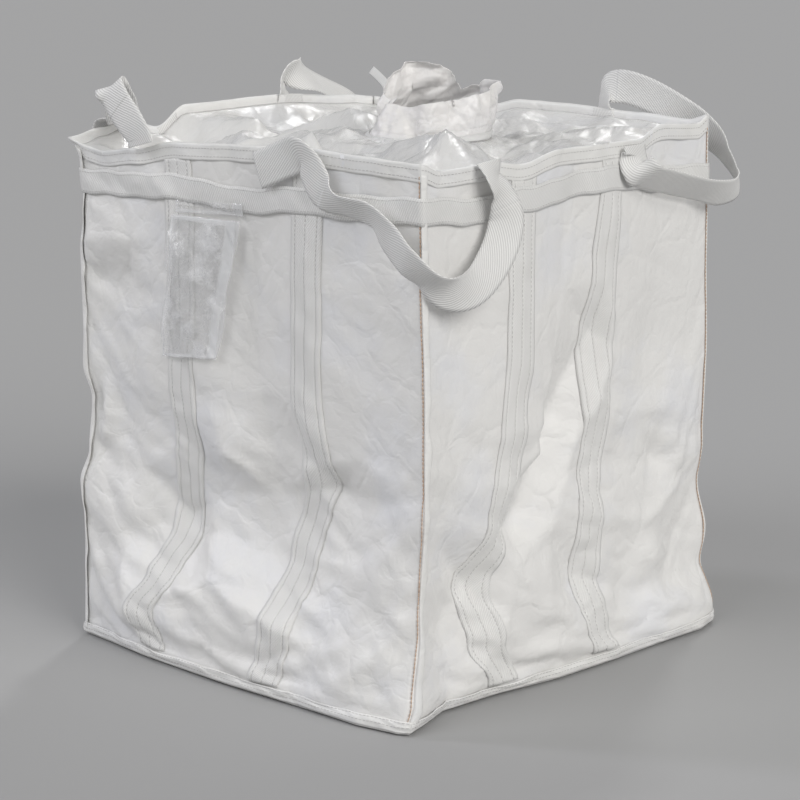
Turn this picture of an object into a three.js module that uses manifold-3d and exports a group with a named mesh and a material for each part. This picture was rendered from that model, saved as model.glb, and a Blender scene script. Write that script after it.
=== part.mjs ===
// A four-loop woven bulk bag (FIBC) with inner baffles, drawn standing and empty.
// Units are millimetres, +Z is up, and the origin is the centre of the underside.
// The front is -Y. Every face is drawn as the front and then turned about Z.
import * as THREE from 'three';
import { mergeVertices } from 'three/addons/utils/BufferGeometryUtils.js';
import Module from 'manifold-3d';

const wasm = await Module();
wasm.setup();

// Driving dimensions of the body
const WIDTH = 950;
const HEIGHT = 1070;
const FABRIC = 4;
const CLEAR = 0.4;
const SEAM_INSET = 8;
const SEAM_PROUD = 3;
const SEAM_GAP = 1;

// Rim, bottom seam and belt
const HEM_HEIGHT = 30;
const HEM_INNER = 20;
const HEM_FABRIC = 1.5;
const BINDING_HEIGHT = 25;
const BINDING_THICK = 5;
const BINDING_LIFT = 1;
const BELT_WIDTH = 50;
const BELT_DROP = 85;

// Webbing, and the strips that the webbing is sewn to
const WEBBING = 3;
const WEBBING_WIDTH = 75;
const LEG_FROM_CORNER = 275;
const LEG_LENGTH = 330;
const LEG_BELOW_RIM = 6;
const STRIP_FROM_CORNER = 310;
const STRIP_WIDTH = 90;
const STRIP_THICK = 1.5;
const HINGE_ABOVE_RIM = 8;
const HINGE_PROUD = 8;

// Baffles inside the corners
const BAFFLE_FROM_CORNER = 310;
const BAFFLE_THICK = 3;
const BAFFLE_END_GAP = 60;
const BAFFLE_HOLE = 100;
const BAFFLE_HOLES = 4;

// Top panel and filling spout
const TOP_BELOW_RIM = 24;
const TOP_THICK = 3;
const SPOUT_WALL = 3;
const NECK_RADIUS = 143;
const NECK_HEIGHT = 70;
const MOUTH_RADIUS = 125;
const MOUTH_HEIGHT = 118;
const MOUTH_OVERLAP = 20;
const TIE_WIDTH = 18;
const TIE_THICK = 2;
const TIE_BELOW_NECK_TOP = 22;

// Document pouch on the front
const POUCH_CENTRE_X = -65;
const POUCH_WIDTH = 182;
const POUCH_HEIGHT = 290;
const POUCH_FILM = 1.2;
const POUCH_GAP = 5;
const POUCH_BELOW_HEADER = 3;
const HEADER_HEIGHT = 22;

// Values that follow from the ones above
const half = WIDTH / 2;
const quarterTurn = Math.PI / 2;
const panelFoot = FABRIC + CLEAR;
const panelHalf = half - SEAM_INSET;
const seamInner = panelHalf + SEAM_GAP;
const stripFace = half + CLEAR + Math.max(HEM_FABRIC, STRIP_THICK);
const legFace = stripFace + CLEAR + WEBBING;
const beltInner = legFace + CLEAR;
const beltOuter = beltInner + WEBBING;
const beltCentre = HEIGHT - BELT_DROP;
const beltFoot = beltCentre - BELT_WIDTH / 2;
const hemTop = HEIGHT;
const panelTop = hemTop - HEM_FABRIC - CLEAR;
const hemFoot = hemTop - HEM_HEIGHT;
const bindingTop = BINDING_LIFT + BINDING_HEIGHT;
const legTop = HEIGHT - LEG_BELOW_RIM;
const topFoot = HEIGHT - TOP_BELOW_RIM;
const topTop = topFoot + TOP_THICK;
const innerFace = half - FABRIC;
const topHalf = Math.min(innerFace - HEM_FABRIC - 2 * CLEAR, seamInner - CLEAR);
const neckFoot = topFoot;
const neckTop = neckFoot + NECK_HEIGHT;
const mouthFoot = neckTop - MOUTH_OVERLAP;
const mouthTop = mouthFoot + MOUTH_HEIGHT;
const tieFoot = neckTop - TIE_BELOW_NECK_TOP;
const hingeHeight = HEIGHT + HINGE_ABOVE_RIM;
const hingeOut = half + HINGE_PROUD;
const legFromCentre = half - LEG_FROM_CORNER;

const FACES = ['front', 'right', 'back', 'left'];
const CORNERS = ['front_right', 'back_right', 'back_left', 'front_left'];

const group = new THREE.Group();

// One material for each finish; each mesh takes its own copy
const FINISHES = {
  fabric: { color: 0xdcdbd6, roughness: 0.55, metalness: 0 },
  laminate: { color: 0xe4e3e2, roughness: 0.3, metalness: 0 },
  webbing: { color: 0xdad9d3, roughness: 0.7, metalness: 0 },
  seam: { color: 0xc9a37c, roughness: 0.8, metalness: 0 },
  film: { color: 0xe6e8ee, roughness: 0.12, metalness: 0 },
};

function add(name, geometry, finish, parent = group) {
  const material = new THREE.MeshStandardMaterial(FINISHES[finish]);
  const mesh = new THREE.Mesh(geometry, material);
  mesh.name = name;
  parent.add(mesh);
  return mesh;
}

// A group turned so that what is drawn on the front lands on face number `index`
function faceGroup(index) {
  const turned = new THREE.Group();
  turned.rotation.z = index * quarterTurn;
  group.add(turned);
  return turned;
}

// A box given by its lowest and highest corners
function slab(x0, x1, y0, y1, z0, z1) {
  const box = new THREE.BoxGeometry(x1 - x0, y1 - y0, z1 - z0);
  box.translate((x0 + x1) / 2, (y0 + y1) / 2, (z0 + z1) / 2);
  return box;
}

// A closed outline in (y, z), pushed along x from x0 to x1
function alongX(outline, x0, x1) {
  const shape = new THREE.Shape(outline.map(([y, z]) => new THREE.Vector2(y, z)));
  const body = new THREE.ExtrudeGeometry(shape, { depth: x1 - x0, bevelEnabled: false });
  body.rotateX(quarterTurn);
  body.rotateZ(quarterTurn);
  body.translate(x0, 0, 0);
  return body;
}

// A flat shape in (x, y), raised from z0 to z1
function raised(shape, z0, z1, curveSegments = 32) {
  const options = { depth: z1 - z0, bevelEnabled: false, curveSegments };
  const body = new THREE.ExtrudeGeometry(shape, options);
  body.translate(0, 0, z0);
  return body;
}

function circle(radius, Kind = THREE.Shape, x = 0, y = 0) {
  const round = new Kind();
  round.absarc(x, y, radius, 0, Math.PI * 2, false);
  return round;
}

function tube(outer, wall, z0, z1) {
  const ring = circle(outer);
  ring.holes.push(circle(outer - wall, THREE.Path));
  return raised(ring, z0, z1, 24);
}

function square(halfSide, Kind = THREE.Shape) {
  const outline = new Kind();
  outline.moveTo(-halfSide, -halfSide);
  outline.lineTo(halfSide, -halfSide);
  outline.lineTo(halfSide, halfSide);
  outline.lineTo(-halfSide, halfSide);
  outline.closePath();
  return outline;
}

// A closed geometry as a solid, and a solid back as a geometry
function toSolid(geometry) {
  const bare = geometry.clone();
  bare.deleteAttribute('normal');
  bare.deleteAttribute('uv');
  const merged = mergeVertices(bare);
  return new wasm.Manifold(new wasm.Mesh({
    numProp: 3,
    vertProperties: new Float32Array(merged.attributes.position.array),
    triVerts: new Uint32Array(merged.index.array),
  }));
}

function toGeometry(solid) {
  const mesh = solid.getMesh();
  const geometry = new THREE.BufferGeometry();
  geometry.setAttribute('position', new THREE.BufferAttribute(mesh.vertProperties, 3));
  geometry.setIndex(new THREE.BufferAttribute(mesh.triVerts, 1));
  geometry.computeVertexNormals();
  return geometry;
}

// Flat webbing along a route. Each stop is [x, y, z, wx, wy, wz]: a point on the
// middle line, and the direction that the width of the webbing points there.
function webbing(stops, stepsPerStop = 4) {
  const line = new THREE.CatmullRomCurve3(stops.map((s) => new THREE.Vector3(s[0], s[1], s[2])));
  const sides = new THREE.CatmullRomCurve3(stops.map((s) => new THREE.Vector3(s[3], s[4], s[5])));
  const count = (stops.length - 1) * stepsPerStop;
  const points = [];
  for (let i = 0; i <= count; i += 1) {
    const middle = line.getPoint(i / count);
    const along = line.getTangent(i / count);
    const across = sides.getPoint(i / count);
    across.addScaledVector(along, -across.dot(along)).normalize();
    const through = new THREE.Vector3().crossVectors(along, across);
    for (const [a, t] of [[-1, -1], [1, -1], [1, 1], [-1, 1]]) {
      const corner = middle.clone();
      corner.addScaledVector(across, (a * WEBBING_WIDTH) / 2);
      corner.addScaledVector(through, (t * WEBBING) / 2);
      points.push(corner.x, corner.y, corner.z);
    }
  }
  const faces = [0, 2, 1, 0, 3, 2];
  for (let i = 0; i < count; i += 1) {
    for (let k = 0; k < 4; k += 1) {
      const a = 4 * i + k;
      const b = 4 * i + ((k + 1) % 4);
      faces.push(a, b, b + 4, a, b + 4, a + 4);
    }
  }
  const last = 4 * count;
  faces.push(last, last + 1, last + 2, last, last + 2, last + 3);
  const body = new THREE.BufferGeometry();
  body.setAttribute('position', new THREE.Float32BufferAttribute(points, 3));
  body.setIndex(faces);
  body.computeVertexNormals();
  return body;
}

// Bottom panel, and the top panel with a round hole for the spout
add('bottom_panel', slab(-half, half, -half, half, 0, FABRIC), 'fabric');
const topShape = square(topHalf);
topShape.holes.push(circle(NECK_RADIUS + CLEAR, THREE.Path));
add('top_panel', raised(topShape, topFoot, topTop), 'laminate');

// Four walls, each with its hem, bottom seam, two strips and two sewn loop legs
const hemOutside = -(half + CLEAR + HEM_FABRIC);
const hemInside = -(innerFace - CLEAR - HEM_FABRIC);
const hemOutline = [
  [hemOutside, hemFoot],
  [-(half + CLEAR), hemFoot],
  [-(half + CLEAR), hemTop - HEM_FABRIC],
  [-(innerFace - CLEAR), hemTop - HEM_FABRIC],
  [-(innerFace - CLEAR), hemTop - HEM_INNER],
  [hemInside, hemTop - HEM_INNER],
  [hemInside, hemTop],
  [hemOutside, hemTop],
];
FACES.forEach((face, index) => {
  const wall = faceGroup(index);
  const panel = slab(-panelHalf, panelHalf, -half, -innerFace, panelFoot, panelTop);
  add(`side_panel_${face}`, panel, 'fabric', wall);
  add(`rim_hem_${face}`, alongX(hemOutline, -panelHalf, panelHalf), 'fabric', wall);
  const bindingIn = -(half + CLEAR);
  const binding = slab(-panelHalf, panelHalf, bindingIn - BINDING_THICK, bindingIn,
    BINDING_LIFT, bindingTop);
  add(`bottom_binding_${face}`, binding, 'fabric', wall);
  for (const [side, sign] of [['a', -1], ['b', 1]]) {
    const stripX = sign * (half - STRIP_FROM_CORNER);
    const strip = slab(stripX - STRIP_WIDTH / 2, stripX + STRIP_WIDTH / 2,
      -(half + CLEAR + STRIP_THICK), -(half + CLEAR), bindingTop + CLEAR, hemFoot - CLEAR);
    add(`reinforcing_strip_${face}_${side}`, strip, 'fabric', wall);
    const legX = sign * legFromCentre;
    const leg = slab(legX - WEBBING_WIDTH / 2, legX + WEBBING_WIDTH / 2,
      -legFace, -(legFace - WEBBING), legTop - LEG_LENGTH, legTop);
    add(`loop_leg_${face}_${side}`, leg, 'webbing', wall);
  }
});

// Sewn seams up the four corners, and the belt round all four walls
CORNERS.forEach((corner, index) => {
  const turned = faceGroup(index);
  const seam = slab(seamInner, half + SEAM_PROUD, -(half + SEAM_PROUD), -seamInner,
    panelFoot, HEIGHT);
  add(`corner_seam_${corner}`, seam, 'seam', turned);
});
const beltShape = square(beltOuter);
beltShape.holes.push(square(beltInner, THREE.Path));
add('horizontal_belt', raised(beltShape, beltFoot, beltFoot + BELT_WIDTH), 'webbing');

// Baffles: panels with flow holes, tied across the inside of each corner
const baffleHeight = HEIGHT - 2 * BAFFLE_END_GAP;
const baffleReach = BAFFLE_FROM_CORNER - FABRIC - CLEAR - BAFFLE_THICK;
const baffleLength = baffleReach * Math.SQRT2;
CORNERS.forEach((corner, index) => {
  const shape = new THREE.Shape();
  shape.moveTo(-baffleLength / 2, 0);
  shape.lineTo(baffleLength / 2, 0);
  shape.lineTo(baffleLength / 2, baffleHeight);
  shape.lineTo(-baffleLength / 2, baffleHeight);
  shape.closePath();
  for (let hole = 0; hole < BAFFLE_HOLES; hole += 1) {
    const height = (baffleHeight * (hole + 0.5)) / BAFFLE_HOLES;
    shape.holes.push(circle(BAFFLE_HOLE / 2, THREE.Path, 0, height));
  }
  const options = { depth: BAFFLE_THICK, bevelEnabled: false, curveSegments: 10 };
  const body = new THREE.ExtrudeGeometry(shape, options);
  body.rotateX(quarterTurn);
  body.translate(0, BAFFLE_THICK / 2, BAFFLE_END_GAP);
  const turned = faceGroup(index);
  const baffle = add(`baffle_${corner}`, body, 'fabric', turned);
  const middle = half - BAFFLE_FROM_CORNER / 2 - FABRIC / 2 - CLEAR;
  baffle.position.set(middle, -middle, 0);
  baffle.rotation.z = Math.PI / 4;
});

// Filling spout: a neck sewn to the top panel, and the free mouth that flops from it
add('spout_neck', tube(NECK_RADIUS, SPOUT_WALL, neckFoot, neckTop), 'laminate');
add('spout_mouth', tube(MOUTH_RADIUS, SPOUT_WALL, mouthFoot, mouthTop), 'laminate');
const tieInner = NECK_RADIUS + CLEAR;
add('spout_tie', tube(tieInner + TIE_THICK, TIE_THICK, tieFoot, tieFoot + TIE_WIDTH), 'webbing');

// Document pouch: a header sewn below the belt, and two films that hang from it
const pouchLeft = POUCH_CENTRE_X - POUCH_WIDTH / 2;
const pouchRight = POUCH_CENTRE_X + POUCH_WIDTH / 2;
const headerTop = beltFoot - CLEAR;
const headerFoot = headerTop - HEADER_HEIGHT;
const pouchTop = headerFoot - POUCH_BELOW_HEADER;
const pouchFoot = pouchTop - POUCH_HEIGHT;
const headerBack = -(legFace + CLEAR);
const backFilmBack = headerBack - CLEAR;
const backFilmFront = backFilmBack - POUCH_FILM;
const frontFilmBack = backFilmFront - CLEAR;
const frontFilmFront = frontFilmBack - POUCH_GAP - POUCH_FILM;
add('pouch_header',
  slab(pouchLeft, pouchRight, headerBack - HEM_FABRIC, headerBack, headerFoot, headerTop), 'film');
add('pouch_back_film',
  slab(pouchLeft, pouchRight, backFilmFront, backFilmBack, pouchFoot, pouchTop), 'film');
const pouchBlock = toSolid(
  slab(pouchLeft, pouchRight, frontFilmFront, frontFilmBack, pouchFoot, pouchTop));
const pouchPocket = toSolid(
  slab(pouchLeft + POUCH_FILM, pouchRight - POUCH_FILM, frontFilmFront + POUCH_FILM,
    frontFilmBack + 1, pouchFoot + POUCH_FILM, pouchTop + 1));
add('pouch_front_film', toGeometry(pouchBlock.subtract(pouchPocket)), 'film');

// Free webbing of the four lifting loops. Each runs from the rim of one wall to the
// rim of the next. A stop is [a, b, c, wx, wy, wz] in its own corner's frame: a is the
// share of the way from the leg to the corner, b out from the wall, c above the hinge.
const legToCorner = hingeOut - legFromCentre;
const nearWall = (a, b, c, ...w) => (
  [legFromCentre + a * legToCorner, -(hingeOut + b), hingeHeight + c, ...w]);
const farWall = (a, b, c, ...w) => (
  [hingeOut + b, -(legFromCentre + a * legToCorner), hingeHeight + c, ...w]);
const LOOPS = {
  // hangs outside, down over its corner
  front_right: [
    nearWall(0, 0, -2, 1, 0, 0),
    nearWall(0.05, 9, -28, 0.95, 0, 0.25),
    nearWall(0.22, 11, -78, 0.73, 0, 0.68),
    nearWall(0.53, 14, -143, 0.5, 0, 0.87),
    nearWall(0.81, 22, -185, 0.35, 0, 0.94),
    nearWall(1.1, 20, -216, 0, 0, 1),
    farWall(0.81, 24, -236, 0, 0, 1),
    farWall(0.49, 18, -245, 0, -0.1, 1),
    farWall(0.25, 14, -228, 0, -0.6, 0.8),
    farWall(0.09, 11, -168, 0, -1, 0.2),
    farWall(0.09, 9, -108, 0, -1, 0),
    farWall(0.04, 7, -48, 0, -1, 0),
    farWall(0, 0, -2, 0, -1, 0),
  ],
  // lies outwards over its corner and folds back along the far wall
  back_right: [
    nearWall(0, 0, -2, 1, 0, 0),
    nearWall(-0.02, 7, -33, 1, 0, 0),
    nearWall(0, 11, -68, 0.9, 0, 0.4),
    nearWall(0.16, 20, -93, 0.45, 0, 0.9),
    nearWall(0.46, 32, -113, 0.2, 0, 1),
    nearWall(0.78, 44, -128, 0.1, 0, 1),
    nearWall(1.03, 57, -108, -0.5, 0, 0.87),
    farWall(1.14, 44, -48, -0.5, 0, 0.87),
    farWall(1.01, 26, -8, -0.2, 0, 0.98),
    farWall(0.83, 12, 24, 0, 0, 1),
    farWall(0.62, 8, 46, 0, 0, 1),
    farWall(0.35, 6, 64, 0, 0.2, 1),
    farWall(0.13, 4, 70, 0.3, 0.5, 0.8),
    farWall(0.02, 2, 44, 0.6, 0.8, 0),
    farWall(0, 0, 4, 0.7, 0.7, 0),
  ],
  // hangs outside the near wall, then stands up by its leg on the far wall
  back_left: [
    nearWall(0, 0, -2, 1, 0, 0),
    nearWall(0.02, 10, -38, 1, 0, 0),
    nearWall(0.09, 12, -78, 0.9, 0, 0.4),
    nearWall(0.28, 14, -128, 0.5, 0, 0.87),
    nearWall(0.6, 22, -148, 0, 0, 1),
    nearWall(0.88, 42, -118, -0.3, 0, 0.95),
    farWall(1.13, 22, -58, -0.6, 0, 0.8),
    farWall(0.95, 18, 2, -0.3, 0, 0.95),
    farWall(0.67, 10, 40, 0, 0, 1),
    farWall(0.39, 8, 70, 0, 0, 1),
    farWall(0.17, 6, 92, 0.2, 0.4, 0.87),
    farWall(0.02, 4, 82, 0.6, 0.8, 0.2),
    farWall(-0.01, 2, 44, 0.7, 0.7, 0),
    farWall(0, 0, 4, 0.7, 0.7, 0),
  ],
  // hangs outside the near wall, comes in over the rim, and stands up by its far leg
  front_left: [
    nearWall(0, 0, -2, 1, 0, 0),
    nearWall(0.01, 5, -38, 1, 0, 0),
    nearWall(0.05, 12, -82, 0.9, 0, 0.4),
    nearWall(0.22, 14, -118, 0.1, 0, 1),
    nearWall(0.4, 14, -90, -0.8, 0, 0.6),
    nearWall(0.47, 12, -30, -1, 0, 0.2),
    nearWall(0.47, 0, 22, -1, 0, 0),
    nearWall(0.48, -45, 30, -0.95, 0.3, 0),
    nearWall(0.55, -120, 22, -0.6, 0.75, 0.2),
    farWall(0.34, -96, 34, 0, 0.85, 0.5),
    farWall(0.47, -14, 90, 0, 0.8, 0.6),
    farWall(0.4, 8, 84, 0, 0.7, 0.7),
    farWall(0.16, 5, 58, 0, 0.8, 0.6),
    farWall(0.01, 3, 26, 0, 1, 0.05),
    farWall(0, 0, 4, 0, 1, 0),
  ],
};
CORNERS.forEach((corner, index) => {
  add(`lifting_loop_${corner}`, webbing(LOOPS[corner]), 'webbing', faceGroup(index));
});

export default group;
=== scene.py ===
# %% [markdown]
# # A one-tonne bulk bag, standing open and empty
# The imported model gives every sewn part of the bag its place. This lesson dresses that frame with limp
# cloth: walls that slump and crease, webbing that droops, a glossy top in folds, a crushed filling spout
# and a pouch of clear film. Lengths are in metres and +Z is up.

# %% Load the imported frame
import bpy
import numpy as np
from mathutils import Matrix, Vector
from mathutils.geometry import delaunay_2d_cdt


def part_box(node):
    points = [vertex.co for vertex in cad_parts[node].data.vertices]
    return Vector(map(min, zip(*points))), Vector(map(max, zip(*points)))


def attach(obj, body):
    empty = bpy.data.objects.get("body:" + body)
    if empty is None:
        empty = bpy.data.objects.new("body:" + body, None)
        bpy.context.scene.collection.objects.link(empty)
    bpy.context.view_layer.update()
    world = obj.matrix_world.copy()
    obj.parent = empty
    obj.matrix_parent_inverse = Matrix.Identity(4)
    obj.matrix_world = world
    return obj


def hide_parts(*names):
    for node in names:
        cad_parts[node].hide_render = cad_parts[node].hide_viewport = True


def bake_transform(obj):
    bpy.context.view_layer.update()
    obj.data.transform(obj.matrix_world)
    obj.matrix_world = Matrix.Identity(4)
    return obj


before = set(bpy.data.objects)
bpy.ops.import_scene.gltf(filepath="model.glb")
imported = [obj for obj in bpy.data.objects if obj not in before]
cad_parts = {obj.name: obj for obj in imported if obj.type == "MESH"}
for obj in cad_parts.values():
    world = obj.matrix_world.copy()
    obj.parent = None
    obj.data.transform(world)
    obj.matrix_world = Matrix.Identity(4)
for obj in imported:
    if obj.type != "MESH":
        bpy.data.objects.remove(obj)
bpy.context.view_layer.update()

# %% [markdown]
# ## Camera, light and floor
# The bag was seen from a little above its rim, with one corner near the middle, through a long lens. The
# camera's place comes from the bag's own height, so it is written as a turn, a rise and a distance. Suns
# with wide discs act as soft boxes: they light a wide plain floor evenly, which area lamps can't do.

# %% Camera
HALF = -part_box("side_panel_front")[0][1]
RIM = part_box("rim_hem_front")[1][2]
TURN = np.radians(40.729)
RISE = np.radians(11.762)
BACKWARD = np.array([np.sin(TURN) * np.cos(RISE), -np.cos(TURN) * np.cos(RISE), np.sin(RISE)])
SIDEWAYS = np.array([np.cos(TURN), np.sin(TURN), 0.0])
UPWARD = np.cross(BACKWARD, SIDEWAYS)
DISTANCE = 4.75
AIM_ASIDE, AIM_DOWN = 0.0151, 0.0307
eye = np.array([0, 0, RIM / 2]) + AIM_ASIDE * SIDEWAYS - AIM_DOWN * UPWARD + DISTANCE * BACKWARD
camera_data = bpy.data.cameras.new("camera")
camera_data.lens = 100.35
camera_data.sensor_width = 36.0
camera_data.clip_end = 300.0
camera = bpy.data.objects.new("camera", camera_data)
camera.matrix_world = Matrix([[*row, place] for row, place in
                              zip(np.stack([SIDEWAYS, UPWARD, BACKWARD], axis=1), eye)] + [[0, 0, 0, 1]])
bpy.context.scene.collection.objects.link(camera)
bpy.context.scene.camera = camera
bpy.context.scene.view_settings.view_transform = "Standard"
print("camera stands at", eye.round(3))


# %% Soft studio light
def sun(name, azimuth, elevation, strength, disc, colour):
    """A sun that shines from azimuth and elevation, in degrees, with a disc that many degrees wide."""
    data = bpy.data.lights.new(name, "SUN")
    data.energy = strength
    data.angle = np.radians(disc)
    data.color = colour
    lamp = bpy.data.objects.new(name, data)
    a, e = np.radians(azimuth), np.radians(elevation)
    place = Vector((np.sin(a) * np.cos(e), -np.cos(a) * np.cos(e), np.sin(e)))
    lamp.rotation_mode = "QUATERNION"
    lamp.rotation_quaternion = place.to_track_quat("Z", "Y")
    lamp.location = place * 8
    bpy.context.scene.collection.objects.link(lamp)
    return lamp


sun("key", 80, 30, 1.80, 42, (1.0, 0.985, 0.96))
sun("fill", -14, 38, 0.80, 40, (0.97, 0.98, 1.0))
sun("top", 205, 46, 0.44, 7, (1.0, 1.0, 1.0))
sun("edge", -66, 24, 0.60, 10, (0.93, 0.92, 1.0))
world = bpy.data.worlds.new("studio")
world.use_nodes = True
world.node_tree.nodes["Background"].inputs["Color"].default_value = (0.262, 0.264, 0.268, 1)
world.node_tree.nodes["Background"].inputs["Strength"].default_value = 1.0
bpy.context.scene.world = world
print("four suns and a pale sky")


# %% [markdown]
# ## Materials from nodes
# Woven polypropylene is white, satin and faintly see-through. Its flat tapes cross every 2.5 mm, and old
# folds leave fine lines in its coating. All patterns read each piece's own UV map, which is measured in
# metres of cloth, so the weave has its true size and bends with the sheet.

# %% Node helpers
def new_material(name):
    """An empty node material with its Principled shader."""
    made = bpy.data.materials.new(name)
    made.use_nodes = True
    return made, made.node_tree, made.node_tree.nodes["Principled BSDF"]


def node(tree, kind, **settings):
    """A node of that kind: keys that match a socket set its value, and other keys set properties."""
    made = tree.nodes.new(kind)
    for key, value in settings.items():
        if key in made.inputs:
            made.inputs[key].default_value = value
        else:
            setattr(made, key, value)
    return made


def cloth_place(tree, scale=(1, 1, 1), turn=0.0):
    """The piece's own UV place, in metres of cloth, stretched by scale and turned by an angle in degrees."""
    place = node(tree, "ShaderNodeTexCoord")
    mapping = node(tree, "ShaderNodeMapping")
    mapping.inputs["Scale"].default_value = scale
    mapping.inputs["Rotation"].default_value[2] = np.radians(turn)
    tree.links.new(place.outputs["UV"], mapping.inputs["Vector"])
    return mapping.outputs["Vector"]


def texture(tree, kind, place, **settings):
    """A texture node of that kind, read at a place on the cloth."""
    made = node(tree, "ShaderNodeTex" + kind, **settings)
    tree.links.new(place, made.inputs["Vector"])
    return made


def ramp(tree, source, stops):
    """Turns a factor into a grey or a colour by stops of (place, colour)."""
    made = node(tree, "ShaderNodeValToRGB")
    elements = made.color_ramp.elements
    while len(elements) < len(stops):
        elements.new(0.5)
    for element, (place, colour) in zip(elements, stops):
        element.position = place
        element.color = (*colour, 1) if len(colour) == 3 else colour
    tree.links.new(source, made.inputs["Fac"])
    return made.outputs["Color"]


def bump(tree, height, distance, strength, below=None):
    """A bump of that many metres for a height of one, laid over an earlier bump."""
    made = node(tree, "ShaderNodeBump", Strength=strength, Distance=distance)
    tree.links.new(height, made.inputs["Height"])
    if below is not None:
        tree.links.new(below, made.inputs["Normal"])
    return made.outputs["Normal"]


def math(tree, operation, first, second=None, value=0.5):
    """One sum of two sockets, or of a socket and a number."""
    made = node(tree, "ShaderNodeMath", operation=operation)
    tree.links.new(first, made.inputs[0])
    if second is None:
        made.inputs[1].default_value = value
    else:
        tree.links.new(second, made.inputs[1])
    return made.outputs["Value"]


# %% Woven cloth, laminated cloth and webbing
def woven(name, pale, cool, rough, crease, tape, specular=0.5, sheen=0.1):
    """Coated woven cloth: crossing tapes, creases left by folding, patches of warm and cool white, and
    painted shade between the tapes.
    """
    made, tree, shader = new_material(name)
    cloth = cloth_place(tree)
    across, along = (texture(tree, "Wave", cloth, wave_type="BANDS", bands_direction=way,
                             Scale=1 / tape / 3.1831 * 2, Distortion=0.6, Detail=1.0) for way in "XY")
    weave = math(tree, "MULTIPLY", across.outputs["Fac"], along.outputs["Fac"])
    warp = texture(tree, "Noise", cloth, Scale=7.0, Detail=4.0, Roughness=0.55)
    bent = node(tree, "ShaderNodeVectorMath", operation="MULTIPLY_ADD")
    tree.links.new(warp.outputs["Color"], bent.inputs[0])
    bent.inputs[1].default_value = (0.09, 0.09, 0.0)
    tree.links.new(cloth, bent.inputs[2])
    cells, small = (texture(tree, "Voronoi", bent.outputs["Vector"], feature="DISTANCE_TO_EDGE",
                            Scale=scale, Randomness=1.0) for scale in (9.0, 27.0))
    fold = ramp(tree, cells.outputs["Distance"], [(0.0, (0, 0, 0)), (0.09, (1, 1, 1))])
    fine = ramp(tree, small.outputs["Distance"], [(0.0, (0, 0, 0)), (0.16, (1, 1, 1))])
    patch = texture(tree, "Noise", cloth, Scale=3.2, Detail=5.0, Roughness=0.6)
    worn_white = tuple(0.965 * c for c in pale)
    colour = ramp(tree, patch.outputs["Fac"], [(0.30, cool), (0.5, pale), (0.72, worn_white)])
    # The weave ramp darkens the gaps between the tapes, where its bump is low: painted shade.
    tone_and_gap_shade = node(tree, "ShaderNodeMix", data_type="RGBA", blend_type="MULTIPLY")
    tone_and_gap_shade.inputs["Factor"].default_value = 1.0
    tree.links.new(colour, tone_and_gap_shade.inputs["A"])
    tree.links.new(ramp(tree, weave, [(0.0, (0.955, 0.955, 0.955)), (0.5, (1, 1, 1))]), tone_and_gap_shade.inputs["B"])
    tree.links.new(tone_and_gap_shade.outputs["Result"], shader.inputs["Base Color"])
    gloss = texture(tree, "Noise", cloth, Scale=11.0, Detail=6.0, Roughness=0.65)
    tree.links.new(ramp(tree, gloss.outputs["Fac"], [(0.3, (rough - 0.09,) * 3), (0.7, (rough + 0.1,) * 3)]),
                   shader.inputs["Roughness"])
    normal = bump(tree, fold, 0.0016, crease)
    normal = bump(tree, fine, 0.0006, crease, normal)
    ripple = texture(tree, "Noise", bent.outputs["Vector"], Scale=38.0, Detail=4.0, Roughness=0.6)
    normal = bump(tree, ripple.outputs["Fac"], 0.0022, crease, normal)
    normal = bump(tree, weave, 0.00018, 0.6, normal)
    tree.links.new(normal, shader.inputs["Normal"])
    shader.inputs["Specular IOR Level"].default_value = specular
    shader.inputs["Sheen Weight"].default_value = sheen
    return made


CLOTH = woven("woven_cloth", (0.88, 0.872, 0.855), (0.85, 0.856, 0.882), 0.40, 0.55, 0.0025)
print("cloth finish ready")


# %% [markdown]
# ## Sheets from grids
# Every sewn piece starts as a grid of points, rows by columns, worked out at once as an array. A real sheet
# has two faces and an edge, so the grid is given its fabric's thickness along its own normals and closed
# round its border. The distance walked over the grid becomes the UV map.

# %% Grid helpers

def unit(vectors):
    """Each vector divided by its own length."""
    return vectors / np.maximum(np.linalg.norm(vectors, axis=-1, keepdims=True), 1e-12)


def grid_normals(points, ring=False):
    """Cross product of the steps down the columns and along the rows: outward on a wall seen from outside."""
    if ring:
        along = np.roll(points, -1, axis=0) - np.roll(points, 1, axis=0)
    else:
        along = np.gradient(points, axis=0)
    up = np.gradient(points, axis=1)
    return unit(np.cross(along, up))


def walked(points, axis):
    """Metres walked along an axis of the grid, averaged over the other one."""
    steps = np.linalg.norm(np.diff(points, axis=axis), axis=2).mean(axis=1 - axis)
    return np.concatenate([[0.0], np.cumsum(steps)])


def grid_faces(columns, rows, ring=False):
    """The four corners of each cell, counted column by column, turning outwards."""
    i = np.arange(columns if ring else columns - 1)
    j = np.arange(rows - 1)
    a = (i[:, None] * rows + j).ravel()
    b = (((i + 1) % columns)[:, None] * rows + j).ravel()
    return np.stack([a, b, b + 1, a + 1], axis=1)


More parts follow.
